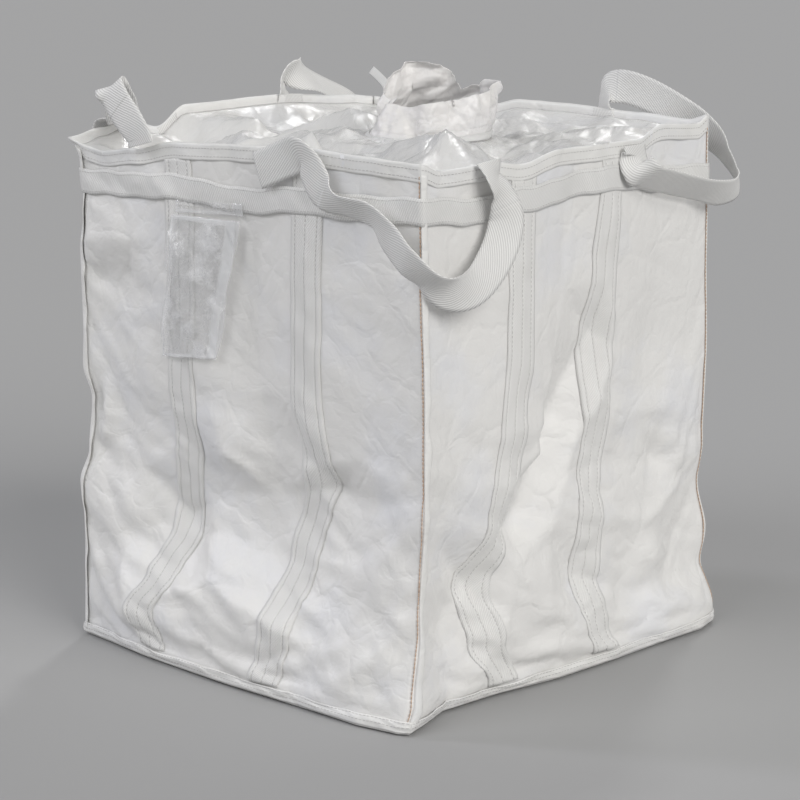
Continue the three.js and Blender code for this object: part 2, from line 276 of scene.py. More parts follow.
def build(name, points, faces, uv, material, body, smooth=True):
    """Points, faces and one UV per face corner become a mesh object at the origin that rides on a body."""
    mesh = bpy.data.meshes.new(name)
    mesh.vertices.add(len(points))
    mesh.vertices.foreach_set("co", np.asarray(points, dtype=np.float32).ravel())
    sides = faces.shape[1]
    mesh.loops.add(faces.size)
    mesh.loops.foreach_set("vertex_index", faces.ravel().astype(np.int32))
    mesh.polygons.add(len(faces))
    mesh.polygons.foreach_set("loop_start", np.arange(len(faces), dtype=np.int32) * sides)
    mesh.update(calc_edges=True)
    layer = mesh.uv_layers.new(name="cloth")
    layer.data.foreach_set("uv", np.asarray(uv, dtype=np.float32).ravel())
    mesh.polygons.foreach_set("use_smooth", np.zeros(len(faces), dtype=bool) | smooth)
    mesh.materials.append(material)
    mesh.update()
    piece = bpy.data.objects.new(name, mesh)
    bpy.context.scene.collection.objects.link(piece)
    if body:
        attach(piece, body)
    return piece


def shell(name, points, thickness, material, body="root", ring=False, normals=None, uv_start=(0.0, 0.0)):
    """The grid is the outer face; the inner face lies thickness behind it; the border strips close it."""
    columns, rows, _ = points.shape
    if normals is None:
        normals = grid_normals(points, ring)
    u = walked(np.concatenate([points, points[:1]]) if ring else points, 0)
    v = walked(points, 1)
    inner = points - normals * thickness
    count = columns * rows
    cells = grid_faces(columns, rows, ring)
    faces = [cells, cells[:, ::-1] + count]
    top = np.arange(columns) * rows + rows - 1
    foot = np.arange(columns) * rows
    turn = np.roll(np.arange(columns), -1) if ring else np.arange(1, columns)
    here = np.arange(columns if ring else columns - 1)
    faces.append(np.stack([top[here], top[turn], top[turn] + count, top[here] + count], axis=1))
    faces.append(np.stack([foot[turn], foot[here], foot[here] + count, foot[turn] + count], axis=1))
    if not ring:
        j = np.arange(rows - 1)
        last = (columns - 1) * rows
        faces.append(np.stack([j, j + 1, j + 1 + count, j + count], axis=1))
        faces.append(np.stack([last + j + 1, last + j, last + j + count, last + j + 1 + count], axis=1))
    faces = np.concatenate(faces)
    sheet_faces = np.arange(len(faces)) < 2 * len(cells)
    column = (faces % count) // rows
    row = (faces % count) % rows
    if ring:
        column = np.where((column == 0) & (column.max(axis=1, keepdims=True) > columns // 2), columns, column)
    uv = np.stack([u[column] + uv_start[0], v[row] + uv_start[1]], axis=-1)
    both = np.concatenate([points.reshape(-1, 3), inner.reshape(-1, 3)])
    return build(name, both, faces, uv, material, body, sheet_faces)


def sewn(cad, flat):
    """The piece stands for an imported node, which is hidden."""
    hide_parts(cad)


def glide(stations, places):
    """A value that eases from station to station: the share of the way becomes 3s squared less 2s cubed."""
    xs, ys = np.array(stations, dtype=float).T
    k = np.clip(np.searchsorted(xs, places) - 1, 0, len(xs) - 2)
    share = np.clip((places - xs[k]) / (xs[k + 1] - xs[k]), 0, 1)
    share = share * share * (3 - 2 * share)
    return ys[k] + (ys[k + 1] - ys[k]) * share


def facets(x, y, cell, seed):
    """Creased noise: on a lattice of triangles each corner has a random height and each face is flat."""
    heights = np.random.default_rng(seed).uniform(-1, 1, (64, 64))
    wander = np.random.default_rng(seed + 1).uniform(0, 6.28, 4)
    x = x + cell * 0.30 * np.sin(2.1 * y / cell + wander[0]) + cell * 0.2 * np.sin(0.9 * x / cell + wander[1])
    y = y + cell * 0.30 * np.sin(1.7 * x / cell + wander[2]) + cell * 0.2 * np.sin(1.1 * y / cell + wander[3])
    u = x / cell + 0.57735 * y / cell
    v = 1.1547 * y / cell
    iu, iv = np.floor(u).astype(int), np.floor(v).astype(int)
    fu, fv = u - iu, v - iv
    h00, h10 = heights[iu % 64, iv % 64], heights[(iu + 1) % 64, iv % 64]
    h01, h11 = heights[iu % 64, (iv + 1) % 64], heights[(iu + 1) % 64, (iv + 1) % 64]
    lower = h00 + fu * (h10 - h00) + fv * (h01 - h00)
    upper = h11 + (1 - fu) * (h01 - h11) + (1 - fv) * (h10 - h11)
    return np.where(fu + fv < 1, lower, upper)


def creased(knots, x, y):
    """Flat triangles hung between knots of (x, y, height): the sheet creases where they meet."""
    knots = np.array(knots, dtype=float) / 1000
    flat = [Vector((a, b)) for a, b in knots[:, :2]]
    triangles = np.array(delaunay_2d_cdt(flat, [], [], 0, 1e-6)[2])
    height = np.zeros(x.shape)
    for one, two, three in knots[triangles]:
        area = (two[0] - one[0]) * (three[1] - one[1]) - (three[0] - one[0]) * (two[1] - one[1])
        b = ((x - one[0]) * (three[1] - one[1]) - (three[0] - one[0]) * (y - one[1])) / area
        c = ((two[0] - one[0]) * (y - one[1]) - (x - one[0]) * (two[1] - one[1])) / area
        inside = (b >= -1e-9) & (c >= -1e-9) & (b + c <= 1 + 1e-9)
        height = np.where(inside, one[2] + b * (two[2] - one[2]) + c * (three[2] - one[2]), height)
    return height


print("grid helpers ready")

# %% [markdown]
# ## The walls
# The empty bag stands because its baffles and seams stiffen it, yet its lower quarter has slumped: each
# wall is drawn in at a knee, then slides outwards to its foot. Those big creases are laid out as knots with
# flat triangles between them, as paper folds. A cloth simulation then lets the whole skin, a little too
# large for its frame, buckle between its seams and settle under its own weight.

# %% The slumped skin before it settles
COLUMNS = 96
ROWS = 108
WALLS = ("front", "right", "back", "left")
CORNERS = ("front_right", "back_right", "back_left", "front_left")
FRONT_RIM = [
    (-475, 1067), (-450, 1050), (-400, 1042), (-286, 1054), (-155, 1074), (25, 1079), (182, 1085),
    (332, 1077), (475, 1070)]
RIGHT_RIM = [
    (-475, 1070), (-418, 1055), (-273, 1060), (-182, 1050), (-56, 1069), (75, 1069), (213, 1070),
    (301, 1095), (440, 1088), (475, 1104)]
BACK_RIM = [
    (-475, 1104), (-430, 1092), (-300, 1100), (-78, 1110), (34, 1112), (119, 1097), (389, 1095),
    (475, 1100)]
LEFT_RIM = [
    (-475, 1100), (-395, 1107), (-158, 1120), (139, 1114), (229, 1072), (309, 1098), (385, 1080),
    (475, 1067)]
FRONT_FOLDS = [
    (-475, 1130, 0), (475, 1130, 0), (0, 1130, 0), (-475, 960, 0), (-400, 985, -10), (-300, 960, -4),
    (-160, 955, 6), (0, 960, -10), (200, 955, 6), (330, 960, -6), (475, 960, 0), (-475, 760, 0),
    (-440, 860, 10), (-405, 800, -14), (-370, 870, 12), (-330, 800, -16), (-300, 880, 10), (-400, 700, -16),
    (-330, 720, -6), (-160, 760, 8), (20, 780, -13), (200, 760, 7), (340, 760, -10), (475, 760, 0),
    (-475, 600, 0), (-405, 590, -26), (-300, 610, -2), (-160, 600, 2), (-105, 620, 12), (-30, 470, 10),
    (60, 600, -15), (200, 600, 0), (330, 600, -14), (475, 600, 0), (-420, 500, 14), (-440, 545, -12),
    (-350, 470, -16), (-160, 470, -14), (-110, 440, -20), (200, 480, -20), (310, 500, -12), (475, 455, 2),
    (380, 430, -24), (300, 425, -44), (230, 435, -52), (90, 400, -36), (-40, 385, -40), (-165, 320, -48),
    (-300, 400, -14), (-430, 410, -12), (-475, 300, 0), (-425, 280, 8), (-340, 250, 20), (-250, 190, 28),
    (-200, 150, 40), (-150, 250, -18), (-100, 290, -34), (-60, 210, 38), (10, 285, -26), (50, 180, 44),
    (130, 250, -14), (150, 150, 38), (230, 240, -8), (300, 300, -18), (380, 310, 4), (-475, 120, 0),
    (-400, 100, 12), (-285, 110, 54), (-130, 100, 40), (-30, 70, 34), (100, 60, 52), (230, 110, 30),
    (330, 90, 46), (330, 200, 12), (420, 170, 18), (475, 250, 0), (475, 120, 8), (-475, 0, 2),
    (-350, 0, 14), (-231, 0, 29), (-9, 0, 42), (206, 0, 40), (370, 0, 36), (475, 0, 12)]
RIGHT_FOLDS = [
    (-475, 1130, 0), (475, 1130, 0), (0, 1130, 0), (-475, 960, 0), (-330, 960, -8), (-172, 955, 8),
    (-20, 960, -10), (120, 955, 10), (300, 960, -9), (475, 960, 0), (-475, 760, 0), (-330, 790, -10),
    (-175, 780, 9), (-30, 790, -10), (110, 800, 6), (300, 780, -8), (475, 760, 0), (80, 700, -30),
    (135, 660, 6), (-60, 690, 4), (-180, 690, 6), (5, 600, -44), (75, 560, 10), (-90, 590, 6),
    (-195, 570, 2), (-400, 600, -6), (475, 600, 0), (-55, 510, -48), (10, 480, 6), (-110, 480, 4),
    (-320, 520, -10), (-100, 430, -50), (-30, 400, 0), (-215, 420, -2), (-410, 400, -16), (-475, 420, 2),
    (475, 440, -6), (-150, 350, -52), (-60, 330, -2), (-250, 330, -10), (-290, 250, -54), (-185, 265, 4),
    (-360, 180, -52), (-415, 260, -16), (-220, 120, -2), (-100, 160, 24), (20, 200, -14), (10, 110, 32),
    (60, 330, 12), (90, 430, -12), (200, 520, 8), (260, 640, -10), (330, 500, 14), (300, 400, -22),
    (400, 340, 14), (230, 270, 18), (370, 210, -20), (150, 160, 4), (300, 100, 40), (420, 90, 36),
    (475, 300, 6), (475, 200, 0), (475, 120, 10), (-475, 120, 8), (-475, 250, 0), (-430, 90, -8),
    (-475, 0, 12), (-342, 0, -30), (-201, 0, -16), (-50, 0, 16), (133, 0, 32), (271, 0, 38), (402, 0, 46),
    (475, 0, 26)]
CORNER_PULL = [
    [(0, -6), (120, 2), (300, 6), (455, 0), (700, 4), (1100, 2)],
    [(0, -10), (49, -14), (136, 1), (206, -8), (314, 8), (405, -1), (603, -2), (819, 2), (1100, 5)],
    [(0, -8), (150, 4), (260, -5), (420, 9), (700, 5), (1100, 6)],
    [(0, 6), (255, 9), (340, 4), (411, 19), (520, 25), (590, 13), (667, 15), (835, 14), (930, 22), (1022, 17),
     (1050, 12), (1066, 0), (1100, 0)]]
CORNER_SLIDE = [(0, -26), (60, -10), (200, 3), (430, 11), (620, 12), (900, 6), (1100, 4)]


def mirrored(stations):
    """The same stations seen from the other side: the first number changes its sign."""
    return sorted([(-row[0], *row[1:]) for row in stations])


RIMS = [FRONT_RIM, RIGHT_RIM, BACK_RIM, LEFT_RIM]
FOLDS = [FRONT_FOLDS, RIGHT_FOLDS, mirrored(RIGHT_FOLDS), mirrored(FRONT_FOLDS)]
FOLDS[2] = [(x, z, 0.8 * out) for x, z, out in FOLDS[2]]


def skin():
    """Walks round the four walls column by column. Each column rises from the floor to the rim's height at
    that place, stands off its wall by the creased height plus two sizes of crumple, and near a corner is
    carried along with that corner's own pull towards the middle of the bag."""
    share = np.arange(COLUMNS) / COLUMNS
    rise = np.linspace(0, 1, ROWS)
    walls = []
    for k, (rim, folds) in enumerate(zip(RIMS, FOLDS)):
        x = (share[:, None] * 2 - 1) * HALF + 0 * rise
        top = glide(rim, x * 1000) / 1000
        z = 0.004 + (top - 0.004) * rise
        out = creased(folds, x, np.clip(z, 0, 1.129))
        inside = np.clip(1 - np.abs(x) / HALF, 0, 1)
        hold = np.clip(inside * 12, 0, 1) * np.clip((1 - rise) * 12, 0, 1) * np.clip(rise * 20, 0, 1)
        crumple = 0.0065 * facets(x, z, 0.095, 7 + k) + 0.0030 * facets(x, z, 0.042, 17 + k)
        low = glide([(0, 1.6), (0.42, 1.2), (0.6, 0.6), (1.1, 0.8)], z)
        if k == 0:
            band_high = glide([(0.62, 0), (0.72, 1), (0.92, 1), (1.0, 0)], z)
            low = low + 0.7 * glide([(-0.45, 1), (-0.24, 0)], x) * band_high
        out = out + crumple * hold * low
        near = glide(CORNER_PULL[(k + 3) % 4], z * 1000) / 1000
        far = glide(CORNER_PULL[k], z * 1000) / 1000
        side = x / HALF
        pull = near * np.clip(-side, 0, 1) ** 3 + far * np.clip(side, 0, 1) ** 3
        out = out - pull
        x = x + near * np.clip((1 - side) / 2, 0, 1) ** 2 - far * np.clip((1 + side) / 2, 0, 1) ** 2
        flat = np.stack([x, -(HALF - 0.0015) - out], axis=-1)
        angle = k * np.pi / 2
        spin = np.array([[np.cos(angle), -np.sin(angle)], [np.sin(angle), np.cos(angle)]])
        walls.append(np.concatenate([flat @ spin.T, z[..., None]], axis=-1))
    walls = np.concatenate(walls)
    near_corner = np.clip(1 - np.abs(np.arange(4 * COLUMNS) / COLUMNS - 1), 0, 1)[:, None] ** 4
    slide = near_corner * glide(CORNER_SLIDE, walls[..., 2] * 1000) / 1000
    return walls + slide[..., None] * SIDEWAYS


raw_skin = skin()
print("skin grid", raw_skin.shape, "low", raw_skin.min(axis=(0, 1)).round(3), "high",
      raw_skin.max(axis=(0, 1)).round(3))


# %% Let the skin buckle and settle
def settle(points, ring, hold, grow, frames, stiffness, bend, gravity, mass=0.2, grip=1.0):
    """Cloth: the grid is hung on its held points, grows by the given share, and comes to rest."""
    columns, rows, _ = points.shape
    faces = grid_faces(columns, rows, ring)
    uv = np.zeros((faces.size, 2))
    piece = build("settling", points.reshape(-1, 3), faces, uv, CLOTH, None)
    held = piece.vertex_groups.new(name="held")
    level = np.round(np.broadcast_to(hold, (columns, rows)).ravel(), 2)
    for weight in np.unique(level[level > 0]):
        held.add(np.flatnonzero(level == weight).tolist(), float(weight), "REPLACE")
    spread = piece.vertex_groups.new(name="spread")
    size = np.round(np.broadcast_to(grow, (columns, rows)).ravel() / np.max(grow), 2)
    for weight in np.unique(size):
        spread.add(np.flatnonzero(size == weight).tolist(), float(weight), "REPLACE")
    cloth = piece.modifiers.new("settle", "CLOTH")
    cloth.settings.quality = 6
    cloth.settings.mass = mass
    cloth.settings.tension_stiffness = stiffness
    cloth.settings.compression_stiffness = stiffness
    cloth.settings.shear_stiffness = stiffness * 0.6
    cloth.settings.bending_stiffness = bend
    cloth.settings.tension_damping = 8
    cloth.settings.compression_damping = 8
    cloth.settings.bending_damping = 1.5
    cloth.settings.air_damping = 3
    cloth.settings.vertex_group_mass = "held"
    cloth.settings.pin_stiffness = grip
    cloth.settings.shrink_min = 0.0
    cloth.settings.shrink_max = -float(np.max(grow))
    cloth.settings.vertex_group_shrink = "spread"
    cloth.settings.effector_weights.gravity = gravity
    cloth.collision_settings.use_collision = False
    cloth.collision_settings.use_self_collision = False
    cloth.point_cache.frame_end = frames
    for step in range(1, frames + 1):
        bpy.context.scene.frame_set(step)
    settled = piece.evaluated_get(bpy.context.evaluated_depsgraph_get())
    result = np.empty(columns * rows * 3, dtype=np.float32)
    settled.to_mesh().vertices.foreach_get("co", result)
    bpy.data.objects.remove(piece)
    bpy.context.scene.frame_set(1)
    return result.reshape(columns, rows, 3).astype(float)


SKIN_GRIP = 0.22
SKIN_GROWTH = [(0, 0.030), (0.35, 0.026), (0.5, 0.012), (0.9, 0.009), (1, 0.014)]
SKIN_FOOT = 0.003
skin_side = np.abs((np.arange(4 * COLUMNS) % COLUMNS) / COLUMNS * 2 - 1)
skin_rise = np.linspace(0, 1, ROWS)
skin_hold = np.zeros((4 * COLUMNS, ROWS)) + SKIN_GRIP
skin_hold[skin_side > 0.999] = 1.0
skin_hold[:, :2] = 1.0
skin_hold[:, -2:] = 1.0
skin_grow = glide(SKIN_GROWTH, skin_rise)[None, :] + 0 * skin_side[:, None]
body_skin = settle(raw_skin, True, skin_hold, skin_grow, 14, 30, 1.2, 1.0)
print("the settling moved the skin at most", np.abs(body_skin - raw_skin).max().round(4))

# %% [markdown]
# Old fold lines stay sharp in coated cloth, which the simulation rounds off. So flat facets of three sizes
# are added after it. They fade out at the seams, the foot and the rim, and are livelier low down.

# %% Crisp facets on the settled skin
SKIN_FACETS = [(0.0050, 0.110, 121), (0.0026, 0.051, 127), (0.0012, 0.026, 129)]
LEFT_PART, LEFT_LIVELY = 0.30, 1.15


def all_facets(x, y, sizes):
    """Facets of every (height, cell, seed) in sizes, added up."""
    return sum(height * facets(x, y, cell, seed) for height, cell, seed in sizes)


loose = (np.clip((1 - skin_side) * 14, 0, 1)[:, None] * np.clip(skin_rise * 24, 0, 1)
         * np.clip((1 - skin_rise) * 16, 0, 1))
round_walls = np.arange(4 * COLUMNS)[:, None] * 2 * HALF / COLUMNS + 0 * skin_rise
lively = glide([(0, 1.15), (0.5, 0.95), (0.62, 0.38), (1, 0.42)], skin_rise)
lively = np.where(round_walls < LEFT_PART, np.maximum(lively, LEFT_LIVELY), lively)
skin_crisp = all_facets(round_walls, body_skin[..., 2], SKIN_FACETS)
body_skin = body_skin + (skin_crisp * loose * lively)[..., None] * grid_normals(body_skin, True)
body_skin[..., 2] = np.maximum(body_skin[..., 2], SKIN_FOOT)
skin_normals = grid_normals(body_skin, True)

# %% Four wall panels cut from the skin
FABRIC = 0.0012
for k, wall in enumerate(WALLS):
    columns = np.arange(k * COLUMNS, (k + 1) * COLUMNS + 1) % (4 * COLUMNS)
    piece = shell("wall_" + wall, body_skin[columns], FABRIC, CLOTH, normals=skin_normals[columns],
                  uv_start=(k * 1.3, 0.0))
    sewn("side_panel_" + wall, (2 * HALF, RIM))
print("walls cut")

# %% [markdown]
# ## Pieces sewn to the walls
# A strip, a belt or a hem is flat webbing or folded cloth that follows the wall it is sewn to, creases and
# all. Each is a grid laid on the settled skin: a place along the wall and a share of its height give a
# point, and the skin's own normal lifts it clear, by the millimetre or two that keeps the faces apart.

# %% Lay a grid on the skin
def on_skin(wall, across, share, lift):
    """The skin's point at a place across a wall, in metres from its middle, and at a share of its height,
    by straight lines between the four nearest grid points, then lifted along the blended normal."""
    column = wall * COLUMNS + (np.clip(across / HALF, -1, 1) + 1) / 2 * COLUMNS
    row = np.clip(share, 0, 1) * (ROWS - 1)
    i = np.floor(column).astype(int)
    j = np.minimum(np.floor(row).astype(int), ROWS - 2)
    s, t = (column - i)[..., None], (row - j)[..., None]
    i, k = i % (4 * COLUMNS), (i + 1) % (4 * COLUMNS)

    def blend_of(grid):
        return ((1 - s) * (1 - t) * grid[i, j] + s * (1 - t) * grid[k, j]
                + (1 - s) * t * grid[i, j + 1] + s * t * grid[k, j + 1])

    return blend_of(body_skin) + np.asarray(lift)[..., None] * unit(blend_of(skin_normals))


def share_at(height):
    """A height in metres as a share of the wall."""
    return height / RIM


def stitches(name, path, lift_way, material, body="root", length=0.0072, gap=0.0016, radius=0.0006):
    """A row of thread along a path: each stitch is a short bead of four sides and five rings, thickest in
    its middle, dipping into the cloth at both ends."""
    steps = np.linalg.norm(np.diff(path, axis=0), axis=1)
    walk = np.concatenate([[0], np.cumsum(steps)])
    count = int(walk[-1] // (length + gap))
    rings = np.array([0.0, 0.18, 0.5, 0.82, 1.0])
    place = (np.arange(count)[:, None] + 0.5 * gap / length) * (length + gap) + rings * length
    centre = np.stack([np.interp(place, walk, path[:, a]) for a in range(3)], axis=-1)
    out = unit(np.stack([np.interp(place, walk, lift_way[:, a]) for a in range(3)], axis=-1))
    ahead = unit(np.gradient(centre, axis=1))
    aside = unit(np.cross(ahead, out))
    size = radius * np.array([0.45, 0.95, 1.1, 0.95, 0.45])
    centre = centre + out * (radius * np.array([-0.6, 0.5, 0.8, 0.5, -0.6]))[None, :, None]
    turn = np.radians([45, 135, 225, 315])
    around = (np.cos(turn)[:, None] * aside[:, :, None, :] + np.sin(turn)[:, None] * out[:, :, None, :])
    points = centre[:, :, None, :] + around * size[None, :, None, None]
    base = (np.arange(count) * 20)[:, None, None, None]
    r, c = np.arange(4)[:, None], np.arange(4)[None, :]
    side = np.stack([r * 4 + c, r * 4 + (c + 1) % 4, (r + 1) * 4 + (c + 1) % 4, (r + 1) * 4 + c], axis=-1)
    cap = np.array([[3, 2, 1, 0], [16, 17, 18, 19]])
    faces = np.concatenate([side.reshape(-1, 4), cap])[None] + base[..., 0]
    faces = faces.reshape(-1, 4)
    uv = np.stack([faces % 4 * 0.001, faces // 4 % 5 * 0.0018 + faces // 20 * 0.009], axis=-1)
    return build(name, points.reshape(-1, 3), faces, uv, material, body)


def stitch_rows(label, points, rows, **size):
    """Rows of thread along the given columns of a grid, numbered from one: white thread coloured grey as
    painted shade of its stitch grooves.
    """
    normals = grid_normals(points)
    for number, row in enumerate(rows):
        stitches(f"{label}_{number + 1}", points[row], normals[row], THREAD_GREYED_AS_SHADE, **size)


def thread_material(name, colour):
    """Twisted thread: a slanted twist in its height, matt, with a little wander in its colour."""
    made, tree, shader = new_material(name)
    cloth = cloth_place(tree, turn=35)
    twist = texture(tree, "Wave", cloth, wave_type="BANDS", bands_direction="Y", Scale=420.0)
    shade = texture(tree, "Noise", cloth, Scale=160.0, Detail=2.0)
    tree.links.new(ramp(tree, shade.outputs["Fac"], [(0.3, tuple(0.85 * c for c in colour)), (0.7, colour)]),
                   shader.inputs["Base Color"])
    shader.inputs["Roughness"].default_value = 0.7
    tree.links.new(bump(tree, twist.outputs["Fac"], 0.0002, 0.5), shader.inputs["Normal"])
    return made


def webbing_material(name, pale, groove_shade, rib, turn, rough=0.55):
    """Woven webbing: slanted ribs of twill with fine cross threads, matt and soft; the grooves between the
    ribs are darker, as painted shade.
    """
    made, tree, shader = new_material(name)
    slanted = cloth_place(tree, turn=turn)
    ribs = texture(tree, "Wave", slanted, wave_type="BANDS", bands_direction="X", Scale=0.31416 * 2 / rib / 2,
                   Distortion=0.35, Detail=1.0)
    straight = cloth_place(tree)
    cross = texture(tree, "Wave", straight, wave_type="BANDS", bands_direction="Y", Scale=0.31416 / 0.0014,
                    Distortion=0.5)
    soil = texture(tree, "Noise", straight, Scale=14.0, Detail=4.0)
    # The darker colour goes where the rib bump is low: painted shade in the grooves between ribs.
    base = ramp(tree, ribs.outputs["Fac"], [(0.1, groove_shade), (0.6, pale)])
    tint = node(tree, "ShaderNodeMix", data_type="RGBA", blend_type="MULTIPLY")
    tint.inputs["Factor"].default_value = 1.0
    tree.links.new(base, tint.inputs["A"])
    soiled = ramp(tree, soil.outputs["Fac"], [(0.3, (0.96, 0.96, 0.955)), (0.6, (1, 1, 1))])
    tree.links.new(soiled, tint.inputs["B"])
    tree.links.new(tint.outputs["Result"], shader.inputs["Base Color"])
    tree.links.new(ramp(tree, ribs.outputs["Fac"], [(0.0, (rough + 0.1,) * 3), (1.0, (rough - 0.08,) * 3)]),
                   shader.inputs["Roughness"])
    normal = bump(tree, ribs.outputs["Fac"], 0.0007, 0.8)
    normal = bump(tree, cross.outputs["Fac"], 0.0002, 0.6, normal)
    tree.links.new(normal, shader.inputs["Normal"])
    shader.inputs["Sheen Weight"].default_value = 0.15
    return made


# The second colour of each twill is painted shade for the grooves between its ribs.
STRIP_TWILL = webbing_material("strip_twill", (0.89, 0.885, 0.87), (0.81, 0.805, 0.79), 0.0040, 40, 0.42)
WEBBING_TWILL = webbing_material("webbing_twill", (0.88, 0.878, 0.865), (0.68, 0.675, 0.665), 0.0048, 28, 0.5)
BELT_TWILL = webbing_material("belt_twill", (0.86, 0.857, 0.845), (0.76, 0.757, 0.745), 0.0048, 28, 0.5)
HEM_CLOTH = woven("hem_cloth", (0.875, 0.87, 0.85), (0.84, 0.845, 0.86), 0.42, 0.5, 0.0025)
# The white thread is coloured grey: painted shade in the grooves its stitches pull into the cloth.
THREAD_GREYED_AS_SHADE = thread_material("thread_greyed_as_shade", (0.62, 0.61, 0.60))
TAN_THREAD = thread_material("tan_thread", (0.68, 0.49, 0.36))

# %% [markdown]
# The reinforcing strips run down each wall where a baffle is sewn in behind. Three rows of stitches pull
# the strip against the wall, so it stands up between them in two soft ribs. The columns of the grid crowd
# round each row of stitches to hold that shape.

# %% Reinforcing strips with three rows of stitches
STRIP_HALF = 0.040
STITCH_ROWS = np.array([-0.028, -0.001, 0.027])
near_row = np.array([-0.004, -0.002, -0.0008, 0.0, 0.0008, 0.002, 0.004])
STRIP_COLUMNS = np.unique(np.concatenate([np.linspace(-STRIP_HALF, STRIP_HALF, 15),
                                          (STITCH_ROWS[:, None] + near_row).ravel()]).round(5))
STRIP_WANDER = {
    (0, "a"): [(0, -205), (30, -226), (112, -246), (189, -204), (285, -172), (474, -158), (762, -151),
               (1130, -159)],
    (0, "b"): [(0, 108), (151, 136), (284, 160), (452, 194), (604, 184), (799, 194), (1130, 204)],
    (1, "a"): [(0, -190), (22, -200), (120, -250), (228, -276), (368, -226), (540, -196), (695, -182),
               (1130, -174)],
    (1, "b"): [(0, 92), (100, 62), (188, 44), (352, 54), (514, 78), (698, 90), (839, 100), (1130, 128)]}
STRIP_WANDER[2, "a"] = [(z, -x) for z, x in STRIP_WANDER[1, "b"]]
STRIP_WANDER[2, "b"] = [(z, -x) for z, x in STRIP_WANDER[1, "a"]]
STRIP_WANDER[3, "a"] = [(z, -x) for z, x in STRIP_WANDER[0, "b"]]
STRIP_WANDER[3, "b"] = [(z, -x) for z, x in STRIP_WANDER[0, "a"]]


def strip_grid(wall, side):
    """Columns across the strip, rows up the wall; its middle wanders as the wall's creases carry it."""
    share = np.linspace(0.026, 0.972, 170)
    middle = glide(STRIP_WANDER[wall, side], share * RIM * 1000) / 1000
    across = middle[None, :] + STRIP_COLUMNS[:, None]
    pinch = np.exp(-((STRIP_COLUMNS[:, None] - STITCH_ROWS) / 0.0016) ** 2).max(axis=1)
    edge = np.clip((STRIP_HALF - np.abs(STRIP_COLUMNS)) / 0.004, 0, 1)
    lift = (0.0012 + 0.0012 * edge * (1 - pinch) + 0.0004)[:, None] + 0 * share
    return on_skin(wall, across, share[None, :] + 0 * across, lift)


stitched_columns = np.abs(STRIP_COLUMNS - STITCH_ROWS[:, None]).argmin(axis=1)
for k, wall in enumerate(WALLS):
    for side in ("a", "b"):
        grid = strip_grid(k, side)
        piece = shell(f"strip_{wall}_{side}", grid, 0.0009, STRIP_TWILL)
        sewn(f"reinforcing_strip_{wall}_{side}", (0.08, 1.02))
        stitch_rows(f"stitching_{wall}_{side}", grid, stitched_columns, length=0.0062, gap=0.0028,
                    radius=0.0005)
print("strip columns", len(STRIP_COLUMNS))

# %% [markdown]
# The belt of webbing ties the eight loop legs together. It waves up and down as the walls do. The legs are
# the sewn ends of the lifting loops: they lie flat under the belt.

# %% Legs of the lifting loops
LEG_HALF = 0.0375
LEG_TILT = {(1, "a"): -0.090, (0, "b"): -0.012, (1, "b"): -0.02, (0, "a"): 0.0}


def leg_grid(wall, side):
    """A flat band from below the belt to the rim, leaning where its loop drags it along the rim."""
    share = np.linspace(share_at(0.745), 0.999, 60)
    middle = -0.2 if side == "a" else 0.2
    lean = LEG_TILT.get((wall, side), 0.0) * np.clip((share - 0.88) / 0.12, 0, 1) ** 1.5
    width = np.linspace(-1, 1, 13)
    narrow = 1 - 0.25 * np.clip((share - 0.93) / 0.07, 0, 1) ** 2
    across = middle + lean[None, :] + width[:, None] * LEG_HALF * narrow[None, :]
    lift = -0.0022 + 0.0006 * width[:, None] + 0 * share
    return on_skin(wall, across, share[None, :] + 0 * across, lift)


leg_tops = {}
for k, wall in enumerate(WALLS):
    for side in ("a", "b"):
        grid = leg_grid(k, side)
        leg_tops[wall, side] = grid[6, -1]
        piece = shell(f"leg_{wall}_{side}", grid, 0.0012, WEBBING_TWILL)
        sewn(f"loop_leg_{wall}_{side}", (0.075, 0.33))
        stitch_rows(f"leg_stitching_{wall}_{side}", grid, (1, 11))
print("legs end at", leg_tops["front", "b"].round(3))

# %% The belt all the way round
BELT_MIDDLE = [
    [(-475, 978), (-300, 982), (-160, 988), (28, 974), (185, 987), (330, 982), (475, 986)],
    [(-475, 986), (-308, 974), (-172, 984), (70, 1002), (150, 1000), (300, 984), (475, 980)],
    [(-475, 980), (-160, 992), (0, 976), (200, 988), (475, 984)],
    [(-475, 984), (-200, 976), (0, 988), (200, 980), (475, 978)]]
belt_columns = []
for k in range(4):
    across = np.linspace(-HALF, HALF, 130, endpoint=False)
    middle = glide(BELT_MIDDLE[k], across * 1000) / 1000
    middle = middle + 0.0015 * np.sin(across * 61 + k)
    width = np.linspace(-1, 1, 9)
    share = share_at(middle[:, None] + width[None, :] * 0.0255)
    share = share * RIM / (glide(RIMS[k], across * 1000) / 1000)[:, None]
    waves = 0.0007 * np.sin(across * 43 + 2 * k)[:, None] * width
    pillow = 0.0044 + 0.0008 * (1 - width[None, :] ** 2) + waves
    belt_columns.append(on_skin(k, across[:, None] + 0 * share, share, pillow))
belt = shell("belt_webbing", np.concatenate(belt_columns), 0.0013, BELT_TWILL, ring=True)
sewn("horizontal_belt", (0.051, 3.9))
for number, row in enumerate((1, 7)):
    ring = np.concatenate(belt_columns)
    stitches(f"belt_stitching_{number + 1}", ring[:, row], grid_normals(ring, True)[:, row], THREAD_GREYED_AS_SHADE,
             radius=0.00042)
print("belt round", round(walked(ring, 0)[-1], 2), "m")

# %% [markdown]
# The rim is folded outwards over the edge of the top panel and sewn with two rows of thread. The foot is
# bound by a narrow folded strip that joins the walls to the bottom. Both are a profile carried along the
# wall: it runs up one side of the cloth, over or under its edge, and back on the other side.

